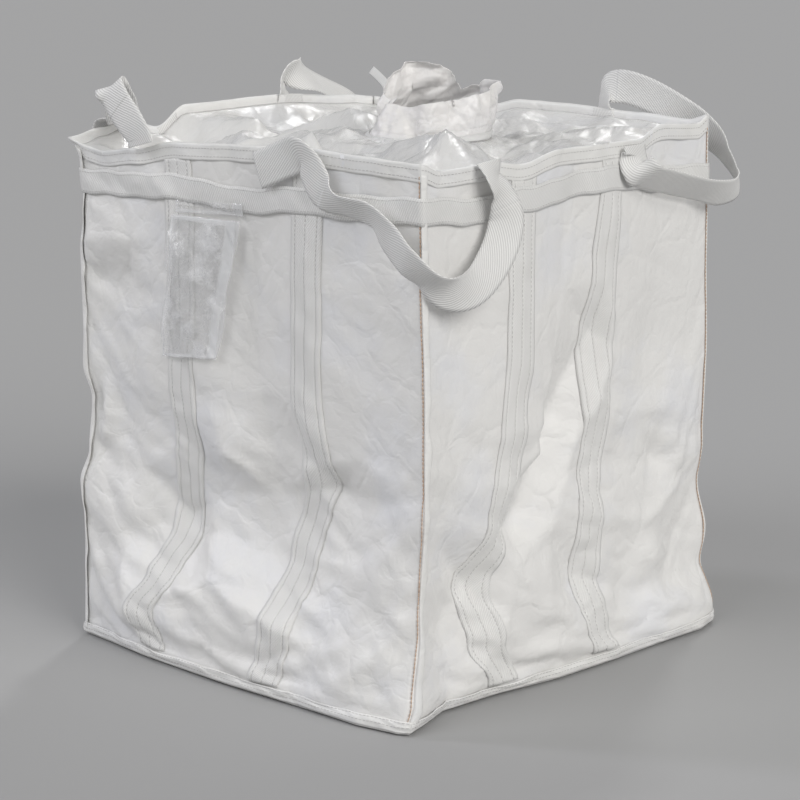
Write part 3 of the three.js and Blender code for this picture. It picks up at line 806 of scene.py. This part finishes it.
# %% Rim hems
def folded_edge(wall, share_end, depth, back, lift, gape, steps=120):
    """A U-shaped profile on the skin's edge: the outer limb is depth deep, the inner one back deep."""
    across = np.linspace(-HALF, HALF, steps)
    limb = np.linspace(depth, 0.0, 9)
    inner = np.linspace(0.0, back, 6)[1:]
    sign = 1 if share_end > 0.5 else -1
    wave = 0.0011 * np.sin(across * 37 + wall) + 0.0008 * np.sin(across * 83 + 2 * wall)
    wave = wave * np.clip((1 - np.abs(across) / HALF) * 16, 0, 1)
    outer_points = on_skin(wall, across[:, None] + 0 * limb, share_end - sign * share_at(limb)[None, :]
                           + 0 * across[:, None], lift + gape * (limb / depth)[None, :] ** 2 + wave[:, None])
    inner_points = on_skin(wall, across[:, None] + 0 * inner, share_end - sign * share_at(inner)[None, :]
                           + 0 * across[:, None], -lift - 0.0012 + 0 * wave[:, None] + 0 * inner)
    crest = 0.5 * (outer_points[:, -1:] + inner_points[:, :1])
    crest[..., 2] = outer_points[:, -1:, 2] + sign * 0.0022
    return np.concatenate([outer_points, crest, inner_points], axis=1)


for k, wall in enumerate(WALLS):
    hem = folded_edge(k, 1.0, 0.031, 0.020, 0.0017, 0.0004)
    piece = shell("hem_" + wall, hem, 0.0009, HEM_CLOTH)
    sewn("rim_hem_" + wall, (0.056, 0.97))
    normals = grid_normals(hem)
    for number, row in enumerate((2, 6)):
        stitches(f"hem_stitching_{wall}_{number + 1}", hem[:, row], normals[:, row], THREAD_GREYED_AS_SHADE)

# %% Foot bindings
for k, wall in enumerate(WALLS):
    across = np.linspace(-HALF, HALF, 150)
    around = np.linspace(0, 1, 14)
    height = 0.003 + 0.021 * np.sin(around * np.pi / 2)[::-1] + 0 * across[:, None]
    ragged = 0.0042 * facets(across[:, None] + 0 * around, height * 2, 0.022, 60 + k)
    lift = 0.0030 + 0.0024 * np.sin(np.pi * around) + 0.45 * ragged
    band = on_skin(k, across[:, None] + 0 * height, share_at(height), lift)[:, ::-1]
    band[..., 2] = np.maximum(band[..., 2] + 0.3 * ragged[:, ::-1], 0.0008)
    piece = shell("binding_" + wall, band, 0.0028, HEM_CLOTH)
    sewn("bottom_binding_" + wall, (0.056, 0.97))
    normals = grid_normals(band)
    for number, row in enumerate((4, 9)):
        stitches(f"binding_stitching_{wall}_{number + 1}", band[:, row], normals[:, row], THREAD_GREYED_AS_SHADE)

# %% [markdown]
# At each corner the two walls are sewn together with tan thread, and their edges stand out as a narrow
# pale fin that lies over to one side. The fin is a folded band down the corner; the thread shows beside it.

# %% Corner seams
for c, corner in enumerate(CORNERS):
    wall, following = c, (c + 1) % 4
    share = np.linspace(0.01, 0.985, 190)
    place = np.linspace(0, 1, 8)
    wander = 0.0012 * np.sin(share * 31 + c) + 0.0009 * np.sin(share * 77 + 2 * c)
    across = -HALF + 0.0002 + (0.0125 + wander[None, :]) * place[:, None]
    lift = (0.0016 + 0.0034 * np.sin(np.pi * place[:, None] * 0.62)
            + 0.0012 * np.sin(share * 53)[None, :] * place[:, None])
    fin = on_skin(following, across, share[None, :] + 0 * across, lift)
    turned = on_skin(wall, np.full((2, share.size), HALF) - np.array([[0.0032], [0.0008]]),
                     share[None, :] + np.zeros((2, 1)), np.array([[-0.0004], [0.0016]]) + 0 * share)
    fin = np.concatenate([turned, fin])
    piece = shell("seam_fin_" + corner, fin, 0.0009, HEM_CLOTH)
    beside = HALF - (0.0095 if corner == "front_left" else 0.0048)
    path = on_skin(wall, np.full(share.size, beside) + 0.3 * wander, share, 0 * share + 0.0008)
    out = on_skin(wall, np.full(share.size, beside), share, 0 * share + 0.01) - path
    thread = stitches("seam_thread_" + corner, path, out, TAN_THREAD, length=0.0080, gap=0.0002,
                      radius=0.0012)
    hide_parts("corner_seam_" + corner)
print("seams sewn")

# %% [markdown]
# ## Inside: baffles and bottom
# A baffle crosses each corner inside so that the full bag stays square. Four round holes let the filling
# pass. The bottom panel lies flat under them. Both hang slack in the empty bag.

# %% Baffles with flow holes
BAFFLE_COLUMNS, BAFFLE_ROWS = 61, 133
for c, corner in enumerate(CORNERS):
    wall, following = c, (c + 1) % 4
    low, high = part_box("baffle_" + corner)
    share = np.linspace(share_at(low[2]), share_at(high[2]), BAFFLE_ROWS)
    place = np.linspace(0, 1, BAFFLE_COLUMNS)[:, None]
    start = on_skin(wall, np.full(share.size, 0.165), share, 0 * share - 0.004)
    end = on_skin(following, np.full(share.size, -0.165), share, 0 * share - 0.004)
    sheet_points = (1 - place[..., None]) * start[None] + place[..., None] * end[None]
    inward = -unit(np.array([end[:, 1] - start[:, 1], start[:, 0] - end[:, 0], 0 * share]).T)
    slack = 0.012 * np.sin(np.pi * place) * (1 + 0.6 * np.sin(share * 9 + c)[None, :])
    dents = facets(place * 0.44 + 0 * share, share[None, :] + 0 * place, 0.09, 80 + c)
    slack = slack + 0.004 * dents * np.sin(np.pi * place)
    sheet_points = sheet_points + slack[..., None] * inward[None]
    flat = np.stack([place * 0.438 + 0 * share, share[None, :] * RIM + 0 * place], axis=-1)
    holes = np.stack([np.full(4, 0.219), np.linspace(low[2] + 0.12, high[2] - 0.12, 4)], axis=1)
    cells = grid_faces(BAFFLE_COLUMNS, BAFFLE_ROWS)
    middle = flat.reshape(-1, 2)[cells].mean(axis=1)
    away = np.linalg.norm(middle[:, None] - holes[None], axis=2).min(axis=1)
    cells = cells[away > 0.050]
    used, renumbered = np.unique(cells, return_inverse=True)
    cells = renumbered.reshape(-1, 4)
    uv = flat.reshape(-1, 2)[used][cells]
    piece = build("baffle_cloth_" + corner, sheet_points.reshape(-1, 3)[used], cells, uv, CLOTH, "root")
    thick = piece.modifiers.new("thickness", "SOLIDIFY")
    thick.thickness = 0.0012
    sewn("baffle_" + corner, (0.44, 0.96))
print("baffles hung, each with", len(holes), "holes")

# %% Bottom panel
across = np.linspace(-1, 1, 90)
foot = [on_skin(k, across * HALF, np.full(90, 0.0), np.full(90, -0.0045)) for k in range(4)]
u, v = (across[:, None] + 1) / 2, (across[None, :] + 1) / 2
south, east, north, west = foot[0], foot[1], foot[2][::-1], foot[3][::-1]
u3, v3 = u[..., None], v[..., None]
patch = ((1 - v3) * south[:, None] + v3 * north[:, None] + (1 - u3) * west[None] + u3 * east[None]
         - (1 - u3) * (1 - v3) * south[0] - u3 * (1 - v3) * south[-1] - (1 - u3) * v3 * north[0]
         - u3 * v3 * north[-1])
over_u, over_v = u * 0.95 + 0 * v, v * 0.95 + 0 * u
bottom_crumple = facets(over_u, over_v, 0.11, 90) + 0.5 * facets(over_u, over_v, 0.05, 91)
from_walls = (np.sin(np.pi * u) * np.sin(np.pi * v)) ** 0.3
patch[..., 2] = 0.0035 + 0.0045 * np.clip(bottom_crumple, 0, 1) * from_walls
piece = shell("bottom_cloth", patch, 0.0012, CLOTH)
sewn("bottom_panel", (0.95, 0.95))
print("bottom", patch.shape)

# %% [markdown]
# ## The top panel
# The top is a square of laminated cloth with a round hole for the spout. It is too big for the rim when
# the bag is empty, so it stands in glossy folds: one sharp peak near the corner by the spout, and long
# wedges that catch the light. The sheet runs from the rim to the spout's circle in rings. It starts from
# a smooth bowl with those folds pressed in, grows a little and settles.

# %% Laminated cloth and the top's rings
LAMINATE = woven("laminated_cloth", (0.76, 0.755, 0.742), (0.74, 0.745, 0.76), 0.16, 0.7, 0.0025, 0.9, 0.0)
SPOUT_CLOTH = woven("spout_cloth", (0.98, 0.962, 0.935), (0.96, 0.955, 0.965), 0.26, 0.7, 0.0025, 0.7, 0.0)
tree = SPOUT_CLOTH.node_tree
glow = node(tree, "ShaderNodeBsdfTranslucent", Color=(0.96, 0.96, 1.0, 1))
through = node(tree, "ShaderNodeMixShader")
through.inputs["Fac"].default_value = 0.20
tree.links.new(tree.nodes["Principled BSDF"].outputs["BSDF"], through.inputs[1])
tree.links.new(glow.outputs["BSDF"], through.inputs[2])
tree.links.new(through.outputs["Shader"], tree.nodes["Material Output"].inputs["Surface"])
TOP_ROWS = 56
spout_low, spout_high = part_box("spout_neck")
NECK = (spout_high[0] - spout_low[0]) / 2
SPOUT_SHIFT = np.array([0.045, 0.039])
SPOUT_LEAN = np.array([0.020, 0.017])


def spout_foot_radius(directions):
    """The hole's radius, drawn in by a sixth on the side that the crushed spout has pulled away from."""
    pulled = np.clip(-(directions @ SIDEWAYS[:2]), 0, 1)
    return NECK * (1 - 0.17 * pulled ** 2)


TOP_FOLDS = [
    (-520, -520, 0), (520, -520, 0), (520, 520, 0), (-520, 520, 0), (0, -500, 0), (500, 0, 0), (0, 500, 0),
    (-500, 0, 0), (345, -240, 92), (470, -300, 4), (330, -70, 8), (440, -140, -12), (400, -400, 6),
    (250, -330, -6), (180, -250, 14), (230, -120, 10), (60, -300, 16), (0, -380, -10), (-40, -250, 26),
    (-150, -400, 4), (-60, -310, 0), (-190, -300, 6), (-92, -368, 26), (112, -362, 84), (140, -352, 20),
    (60, -420, 10), (-52, -118, 48), (-230, -220, 34), (-330, -300, -14), (-300, -90, 30), (-220, -60, -10),
    (-380, 60, -8), (-300, 180, 44), (-200, 120, 4), (-380, 300, -12), (-285, 285, -12), (-160, 300, 26),
    (-60, 220, -4), (40, 360, 34), (60, 250, 0), (200, 330, 4), (330, 370, 20), (330, 200, 34),
    (230, 180, 2), (400, 60, 14), (260, 30, 6)]


def top_grid():
    """Each column runs from a rim point to the spout's circle. The height sags between them, and flat
    triangles between the knots stand up where the cloth has been pushed up."""
    outer = body_skin[:, -3] - skin_normals[:, -3] * 0.004
    outer[:, 2] = outer[:, 2] + 0.004
    angle = np.arctan2(outer[:, 1], outer[:, 0])
    ways = np.stack([np.cos(angle), np.sin(angle)], axis=1)
    inner = np.column_stack([ways * (spout_foot_radius(ways) - 0.0006)[:, None] + SPOUT_SHIFT,
                             np.full(angle.size, spout_low[2] + 0.015)])
    share = np.linspace(0, 1, TOP_ROWS)[None, :, None]
    points = outer[:, None] * (1 - share) + inner[:, None] * share
    x, y = points[..., 0], points[..., 1]
    free = np.sin(np.pi * share[..., 0])
    points[..., 2] -= 0.028 * free
    points[..., 2] += creased(TOP_FOLDS, x, y) * np.clip(free * 2.5, 0, 1)
    rough = all_facets(x, y, [(0.016, 0.15, 31), (0.008, 0.065, 33), (0.003, 0.03, 35)])
    points[..., 2] += rough * np.clip(free * 2.2, 0, 1)
    return points


TOP_GRIP, TOP_GROWTH = 0.35, 0.022
raw_top = top_grid()[::2]
top_hold = np.zeros(raw_top.shape[:2]) + TOP_GRIP
top_hold[:, :2] = 1.0
top_hold[:, -2:] = 1.0
top = settle(raw_top, True, top_hold, np.full(raw_top.shape[:2], TOP_GROWTH), 8, 30, 1.5, 0.6)
from_edges = np.sin(np.pi * np.linspace(0, 1, TOP_ROWS))[None, :].clip(0, 0.4) / 0.4
top[..., 2] += from_edges * all_facets(top[..., 0], top[..., 1], [(0.0045, 0.055, 36), (0.0022, 0.024, 37)])
print("top moved at most", np.abs(top - raw_top).max().round(4), "high", top[..., 2].max().round(3))
piece = shell("top_cloth", top, 0.0012, LAMINATE, ring=True)
sewn("top_panel", (0.97, 0.97))

# %% [markdown]
# ## The filling spout
# The spout is a tube of thin laminated cloth sewn to the hole. Empty, it is crushed: it leans over, its near
# side has dropped and its far side stands up in pleats, so the paler inside shows. One tube is worked out for
# its whole height, then cut where its free mouth begins. A tape is sewn on near the foot to tie the spout
# shut, and its loose end stands up behind.

# %% A crushed tube
SPOUT_COLUMNS, SPOUT_ROWS = 220, 74
toward = np.array([BACKWARD[0], BACKWARD[1]]) / np.hypot(BACKWARD[0], BACKWARD[1])
aside = SIDEWAYS[:2]
SPOUT_EDGE = [
    (0, 88), (28, 92), (40, 100), (58, 106), (84, 124), (107, 126), (112, 112), (142, 112), (153, 102),
    (158, 122), (166, 142), (178, 154), (198, 163), (218, 140), (238, 116), (243, 92), (252, 106),
    (262, 100), (275, 84), (283, 98), (292, 76), (310, 84), (340, 82), (360, 88)]


def spout_grid():
    """Angle runs round the tube from the side nearest the viewer, share runs up it. The edge is high at the
    far side and low at the near side. The radius has pleats that deepen upwards, and the whole tube leans."""
    angle = np.linspace(0, 2 * np.pi, SPOUT_COLUMNS, endpoint=False)[:, None]
    share = np.linspace(0, 1, SPOUT_ROWS)[None, :]
    degrees = np.degrees(angle)
    tall = np.interp(degrees[:, 0], *np.array(SPOUT_EDGE).T)[:, None] / 1000
    height = tall * share
    pleats = (0.050 * np.abs(((angle * 7 / np.pi + 0.3) % 2) - 1)
              + 0.035 * np.abs(((angle * 11 / np.pi) % 2) - 1) + 0.02 * np.cos(3 * angle + 1))
    flare = 1 + pleats * share * 1.9 - 0.16 * share ** 2 - 0.04 * np.sin(np.pi * share)
    pinch = 1 - 0.20 * share * np.exp(-((degrees - 284) / 12) ** 2)
    pinch = pinch - 0.24 * share * np.exp(-((degrees - 112) / 14) ** 2)
    pinch = pinch - 0.15 * share * np.exp(-((degrees - 25) / 20) ** 2)
    ways = np.cos(angle) * toward + np.sin(angle) * aside
    foot = spout_foot_radius(ways)[:, None]
    radius = foot * flare * pinch
    crush = 1 - 0.16 * share[..., None]
    across = radius[..., None] * (np.cos(angle)[..., None] * toward * crush
                                  + np.sin(angle)[..., None] * aside)
    middle = SPOUT_SHIFT + glide([(0, 0), (1, 1)], share)[..., None] * SPOUT_LEAN
    x, y = np.moveaxis(across + middle, 2, 0)
    z = spout_low[2] + 0.006 + height * 1.02 + 0 * angle
    points = np.stack([x, y, z], axis=-1)
    walk = angle * NECK
    free = np.clip((share - 0.14) * 5, 0, 1)
    crumple = all_facets(walk, height, [(0.014, 0.085, 41), (0.0085, 0.042, 43), (0.0030, 0.020, 45)]) * free
    return points + crumple[..., None] * grid_normals(points, True)


SPOUT_GRIP, SPOUT_GROWTH, SEWN_ROWS = 0.3, 0.015, 10
SPOUT_TIP = 1.212
SPOUT_CUT = 26
raw_spout = spout_grid()
spout_hold = np.zeros(raw_spout.shape[:2]) + SPOUT_GRIP
spout_hold[:, :SEWN_ROWS] = 1.0
spout = settle(raw_spout, True, spout_hold, np.full(raw_spout.shape[:2], SPOUT_GROWTH), 4, 40, 2.0, 0.4)
round_spout = np.linspace(0, 2 * np.pi, SPOUT_COLUMNS, endpoint=False)[:, None] * NECK + 0 * spout[..., 2]
above_seam = np.clip((np.linspace(0, 1, SPOUT_ROWS) - 0.2) * 4, 0, 1)
spout_crisp = all_facets(round_spout, spout[..., 2], [(0.0044, 0.042, 141), (0.0022, 0.021, 147)])
spout = spout + (spout_crisp * above_seam)[..., None] * grid_normals(spout, True)
spout[..., 2] = np.minimum(spout[..., 2], SPOUT_TIP)
for name, part, cad, start in (("spout_foot", spout[:, :SPOUT_CUT + 1], "spout_neck", 0.0),
                               ("spout_crown", spout[:, SPOUT_CUT:], "spout_mouth", 0.06)):
    piece = shell(name, part, 0.0009, SPOUT_CLOTH, body=None, ring=True, uv_start=(0.0, start))
    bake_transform(piece)
    sewn(cad, (0.92, round(float(walked(part, 1)[-1]) * 1.02, 3)))
print("spout top", spout[..., 2].max().round(3))

# %% Tie tape
# The tape's second colour is painted shade for the grooves between its ribs.
TAPE = webbing_material("tape", (0.84, 0.84, 0.83), (0.76, 0.76, 0.755), 0.0025, 0, 0.5)
ring_rows = np.linspace(7, 16, 7)
low_row = np.floor(ring_rows).astype(int)
between = (ring_rows - low_row)[None, :, None]
tape = spout[:, low_row] * (1 - between) + spout[:, low_row + 1] * between
tape = tape + grid_normals(tape, True) * 0.0022
piece = shell("tie_tape", tape, 0.0009, TAPE, ring=True)
sewn("spout_tie", (0.018, 0.95))


def band(stops, width, steps, crown=0.0):
    """Flat webbing along stops of (x, y, z, wx, wy, wz) in millimetres: cubic curves run through the places
    and through the width directions, and the grid spreads half the width to each side, slightly crowned."""
    stops = np.array(stops, dtype=float)
    t = np.linspace(0, len(stops) - 1, steps)
    k = np.clip(np.floor(t).astype(int), 0, len(stops) - 2)
    s = (t - k)[:, None]
    padded = np.concatenate([2 * stops[:1] - stops[1:2], stops, 2 * stops[-1:] - stops[-2:-1]])
    p0, p1, p2, p3 = padded[k], padded[k + 1], padded[k + 2], padded[k + 3]
    line = 0.5 * (2 * p1 + (p2 - p0) * s + (2 * p0 - 5 * p1 + 4 * p2 - p3) * s ** 2
                  + (3 * p1 - p0 - 3 * p2 + p3) * s ** 3)
    middle, across = line[:, :3] / 1000, line[:, 3:]
    along = unit(np.gradient(middle, axis=0))
    across = unit(across - (across * along).sum(axis=1, keepdims=True) * along)
    through = np.cross(along, across)
    w = np.linspace(-1, 1, 11)[:, None, None]
    return middle[None] + across[None] * w * width / 2 + through[None] * crown * (1 - w ** 2)


TAIL = [(-110, 135, 1100, 0.6, 0.5, 0.5), (-132, 146, 1125, 0.6, 0.5, 0.5), (-150, 152, 1155, 0.7, 0.4, 0.55),
        (-172, 152, 1174, 0.75, 0.3, 0.6), (-192, 150, 1188, 0.75, 0.3, 0.6)]
tail = shell("tie_tail", band(TAIL, 0.018, 30), 0.0009, TAPE)

# %% [markdown]
# ## Lifting loops
# Each loop is one length of thick webbing from one wall's rim, over or round the corner, to the next wall's
# rim. No two lie alike: one hangs down over its corner, one lies outwards and folds back, two stand up by a
# leg. The path is given in the corner's own frame, and the width direction turns along it. Near each leg the
# webbing is cut, into an end, a free middle and an end; only the middle rides on the loop's body. The ends
# run two rows over the middle and are tucked in there, so that no cut shows. On the loop over the near
# corner, the first end begins with a flat stretch sewn to the wall.

# %% Paths of the four loops
LOOP_WIDTH = 0.072
BEND_LENGTH = 0.10
FLAT_START = 0.115
TUCK_DEPTH, TUCK_THIN = 0.0003, 0.67
LOOPS = {
    "front_right": [
        (82, -485, 1036, -.3, 0, .95), (120, -487, 1050, -.32, 0, .94), (164, -490, 1066, -.25, -.1, .95),
        (202, -495, 1074, .25, -.35, .85), (230, -498, 1052, .78, -.15, .5), (262, -500, 1012, .78, -.15, .6),
        (314, -503, 990, .3, -.72, .6), (385, -504, 976, .3, -.6, .75), (430, -504, 938, .48, -.3, .8),
        (476, -508, 900, .4, -.35, .8), (508, -478, 864, .25, -.7, .66), (514, -420, 838, .2, -.6, .75),
        (511, -352, 846, -.2, -.45, .8), (508, -290, 896, -.45, -.7, .45), (506, -262, 952, -.45, -.8, .2),
        (503, -272, 1001, 0, -.95, .2), (498, -290, 1034, .3, -.9, .1), (487, -294, 1066, 0, -1, 0)],
    "back_right": [
        (180, -484, 1062, 1, 0, 0), (180, -489, 1040, 1, 0, 0), (170, -498, 1022, .85, -.3, .45),
        (186, -512, 1004, .3, -.8, .5), (240, -515, 990, .1, -.8, .6), (310, -516, 974, .1, -.8, .58),
        (390, -518, 958, .1, -.78, .6), (465, -524, 948, .1, -.55, .8), (524, -512, 968, -.5, -.2, .8),
        (532, -470, 1020, -.55, -.2, .8), (510, -430, 1072, -.3, -.3, .9), (492, -375, 1108, -.1, -.2, .97),
        (488, -310, 1136, 0, -.1, 1), (486, -250, 1152, 0, .2, 1), (485, -205, 1150, .3, .6, .7),
        (485, -190, 1128, .6, .75, .1), (485, -190, 1100, .5, .86, 0), (483, -195, 1084, 0.1, 1, 0)],
    "back_left": [
        (200, -484, 1088, 1, 0, 0), (205, -494, 1062, 1, 0, 0), (225, -498, 1022, .9, 0, .4),
        (270, -504, 985, .5, -.2, .85), (345, -508, 965, 0, -.1, 1), (430, -520, 985, -.3, 0, .95),
        (504, -492, 1035, -.2, 0, .9), (508, -430, 1085, .3, 0, .95), (502, -360, 1120, .6, 0, .8),
        (494, -290, 1148, .6, .1, .75), (486, -235, 1164, 0, .45, .8), (483, -197, 1170, -.55, .7, .45),
        (482, -178, 1155, -.6, .8, .05), (481, -176, 1128, -.55, .83, 0), (482, -180, 1100, -.2, .97, 0)],
    "front_left": [
        (200, -484, 1062, 1, 0, 0), (206, -493, 1035, 1, 0, 0), (220, -500, 990, .9, 0, .4),
        (270, -504, 962, .1, 0, 1), (330, -504, 985, -.8, 0, .6), (352, -500, 1045, -1, 0, .2),
        (352, -488, 1090, -1, 0, 0), (357, -440, 1100, -.95, .3, 0), (382, -398, 1098, -.6, .75, .2),
        (420, -364, 1112, -.3, .85, .4), (444, -348, 1150, -.1, .93, .34), (466, -341, 1171, 0, .94, .33),
        (481, -330, 1171, 0, .94, .33), (487, -300, 1140, 0, .97, .2), (489, -266, 1108, 0, .99, .0),
        (488, -245, 1084, 0, .98, -.18), (487, -240, 1066, 0, 1, -.1)],
}


def turned(stops, quarter):
    """The stops and their width directions turned about +Z by whole quarter turns."""
    stops = np.array(stops, dtype=float)
    angle = quarter * np.pi / 2
    spin = np.array([[np.cos(angle), -np.sin(angle)], [np.sin(angle), np.cos(angle)]])
    stops[:, :2] = stops[:, :2] @ spin.T
    stops[:, 3:5] = stops[:, 3:5] @ spin.T
    return stops


for c, corner in enumerate(CORNERS):
    stops = turned(LOOPS[corner], c)
    grid = band(stops, LOOP_WIDTH, 190, 0.0022)
    walk = walked(grid, 1)
    body = "loop_" + corner
    start = FLAT_START if corner == "front_right" else 0.0
    first = int(np.searchsorted(walk, start + BEND_LENGTH))
    last = int(np.searchsorted(walk, walk[-1] - BEND_LENGTH))
    whole = grid_normals(grid)
    cuts = {"near": (slice(0, first + 3), slice(-2, None)), "middle": (slice(first, last + 1), slice(0, 0)),
            "far": (slice(last - 2, None), slice(0, 2))}
    for part_name, (rows, tuck) in cuts.items():
        part, out = grid[:, rows].copy(), whole[:, rows].copy()
        part[:, tuck] -= TUCK_DEPTH * out[:, tuck]
        out[:, tuck] *= TUCK_THIN
        piece = shell(f"loop_{corner}_{part_name}", part, 0.0018, WEBBING_TWILL,
                      body=body if part_name == "middle" else None, normals=out,
                      uv_start=(0.0, walk[rows.start]))
        if part_name != "middle":
            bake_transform(piece)
        round(float(walked(part, 1)[-1]), 3)
        if part_name == "middle":
            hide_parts("lifting_loop_" + corner)
    print("loop", corner, "is", round(float(walk[-1]), 3), "m of webbing")

# %% [markdown]
# ## The document pouch
# A pouch of clear film hangs below a sewn header. The film is stiff and creased in small facets, so it
# glints. It is clear plastic: nearly all light passes, and the creases show by their gloss and by painted
# highlights, where the film is made less clear along the creases and in streaks so that its white shows.

# %% Clear film
FILM_WIDTH, FILM_HEIGHT = 0.182, 0.29
WELDED, OPEN = (0.34,) * 3, (0, 0, 0)


def film_material():
    """Clear film: light passes, the surface is glossy, and small creases turn its normal. Along the creases
    and in streaks it is less clear, as painted highlights.
    """
    made, tree, shader = new_material("clear_film")
    cloth = cloth_place(tree)
    cells = texture(tree, "Voronoi", cloth, feature="DISTANCE_TO_EDGE", Scale=42.0)
    wander = texture(tree, "Noise", cloth, Scale=13.0, Detail=6.0, Roughness=0.6)
    crease = ramp(tree, cells.outputs["Distance"], [(0.0, (0, 0, 0)), (0.2, (1, 1, 1))])
    normal = bump(tree, crease, 0.0012, 0.5)
    normal = bump(tree, wander.outputs["Fac"], 0.003, 0.6, normal)
    tree.links.new(normal, shader.inputs["Normal"])
    tree.links.new(ramp(tree, wander.outputs["Fac"], [(0.3, (0.93, 0.94, 0.96)), (0.7, (0.98, 0.98, 0.99))]),
                   shader.inputs["Base Color"])
    tree.links.new(ramp(tree, wander.outputs["Fac"], [(0.3, (0.05,) * 3), (0.7, (0.13,) * 3)]),
                   shader.inputs["Roughness"])
    share = cloth_place(tree, scale=(1 / FILM_WIDTH, 1 / FILM_HEIGHT, 1))
    apart = node(tree, "ShaderNodeSeparateXYZ")
    tree.links.new(share, apart.inputs["Vector"])
    weld = math(tree, "MAXIMUM",
                ramp(tree, apart.outputs["X"], [(0.0, WELDED), (0.035, WELDED), (0.045, OPEN), (0.80, OPEN),
                                                (0.82, WELDED)]),
                ramp(tree, apart.outputs["Y"], [(0.0, WELDED), (0.02, WELDED), (0.03, OPEN), (0.97, OPEN),
                                                (0.98, WELDED)]))
    # Less clear along the creases and in noise streaks, so the white film shows there: painted highlights.
    painted_glint_alpha = math(tree, "ADD", ramp(tree, cells.outputs["Distance"], [(0.0, (0.16,) * 3), (0.06, (0.05,) * 3)]),
               ramp(tree, wander.outputs["Fac"], [(0.5, (0.03,) * 3), (0.66, (0.42,) * 3)]))
    tree.links.new(math(tree, "MAXIMUM", painted_glint_alpha, weld), shader.inputs["Alpha"])
    shader.inputs["Specular IOR Level"].default_value = 1.0
    shader.inputs["Coat Weight"].default_value = 1.0
    shader.inputs["Coat Roughness"].default_value = 0.05
    return made


FILM = film_material()
pouch_low, pouch_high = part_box("pouch_back_film")
header_low, header_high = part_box("pouch_header")


def film_grid(shift, crumple, seed):
    """Across and down the pouch: its foot has swung to the left, its sides wave, and facets crease it."""
    across = np.linspace(0, 1, 56)[:, None]
    down = np.linspace(1, 0, 84)[None, :]
    top_left, top_right = pouch_low[0], pouch_high[0]
    width = (top_right - top_left) * (1 - 0.13 * down)
    x = top_left + across * width - 0.040 * down + 0.006 * np.sin(down * 9 + seed) * (across - 0.3)
    z = pouch_high[2] - down * (pouch_high[2] - pouch_low[2]) * (1 - 0.05 * across)
    behind = on_skin(0, x, share_at(z), 0.0075 + 0 * x)
    y = np.minimum(behind[..., 1], header_high[1] - 0.0005) - shift
    y = y - 0.010 * np.sin(np.pi * across) * np.sin(np.pi * np.clip(down * 1.1, 0, 1)) * crumple
    below_header = np.clip(down * 8, 0, 1)
    dents = 0.0085 * facets(x, 0.5 * z, 0.045, seed) + 0.0030 * facets(x, 0.5 * z, 0.020, seed + 5)
    y = y - crumple * below_header * dents
    return np.stack([x, y, z], axis=-1)


for name, cad, shift, crumple, seed in (("film_back", "pouch_back_film", 0.0022, 0.35, 51),
                                        ("film_front", "pouch_front_film", 0.0075, 1.0, 55)):
    piece = shell(name, film_grid(shift, crumple, seed), 0.0005, FILM, body=None)
    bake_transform(piece)
    sewn(cad, (FILM_WIDTH, FILM_HEIGHT))
x = np.linspace(header_low[0], header_high[0], 60)[:, None]
z = np.linspace(header_low[2] - 0.001, header_high[2], 12)[None, :]
header = on_skin(0, x + 0 * z, share_at(z) + 0 * x, 0.0085 + 0 * x + 0 * z)
piece = shell("header_band", header, 0.0008, FILM)
sewn("pouch_header", (FILM_WIDTH, 0.024))
stitches("header_stitching", header[:, 6], grid_normals(header)[:, 6], THREAD_GREYED_AS_SHADE)
print("pouch hung")

# %% Floor
def floor():
    """A wide flat disc just under the bag's foot."""
    angle = np.linspace(0, 2 * np.pi, 96, endpoint=False)
    ring = np.stack([90 * np.cos(angle), 90 * np.sin(angle), np.full(96, -0.0005)], axis=1)
    mesh = bpy.data.meshes.new("floor")
    mesh.from_pydata(ring.tolist(), [], [list(range(96))])
    made, _, shader = new_material("floor_paint")
    shader.inputs["Base Color"].default_value = (0.418, 0.418, 0.418, 1)
    shader.inputs["Roughness"].default_value = 0.9
    shader.inputs["Specular IOR Level"].default_value = 0.1
    mesh.materials.append(made)
    piece = bpy.data.objects.new("floor", mesh)
    bpy.context.scene.collection.objects.link(piece)
    return piece


floor()
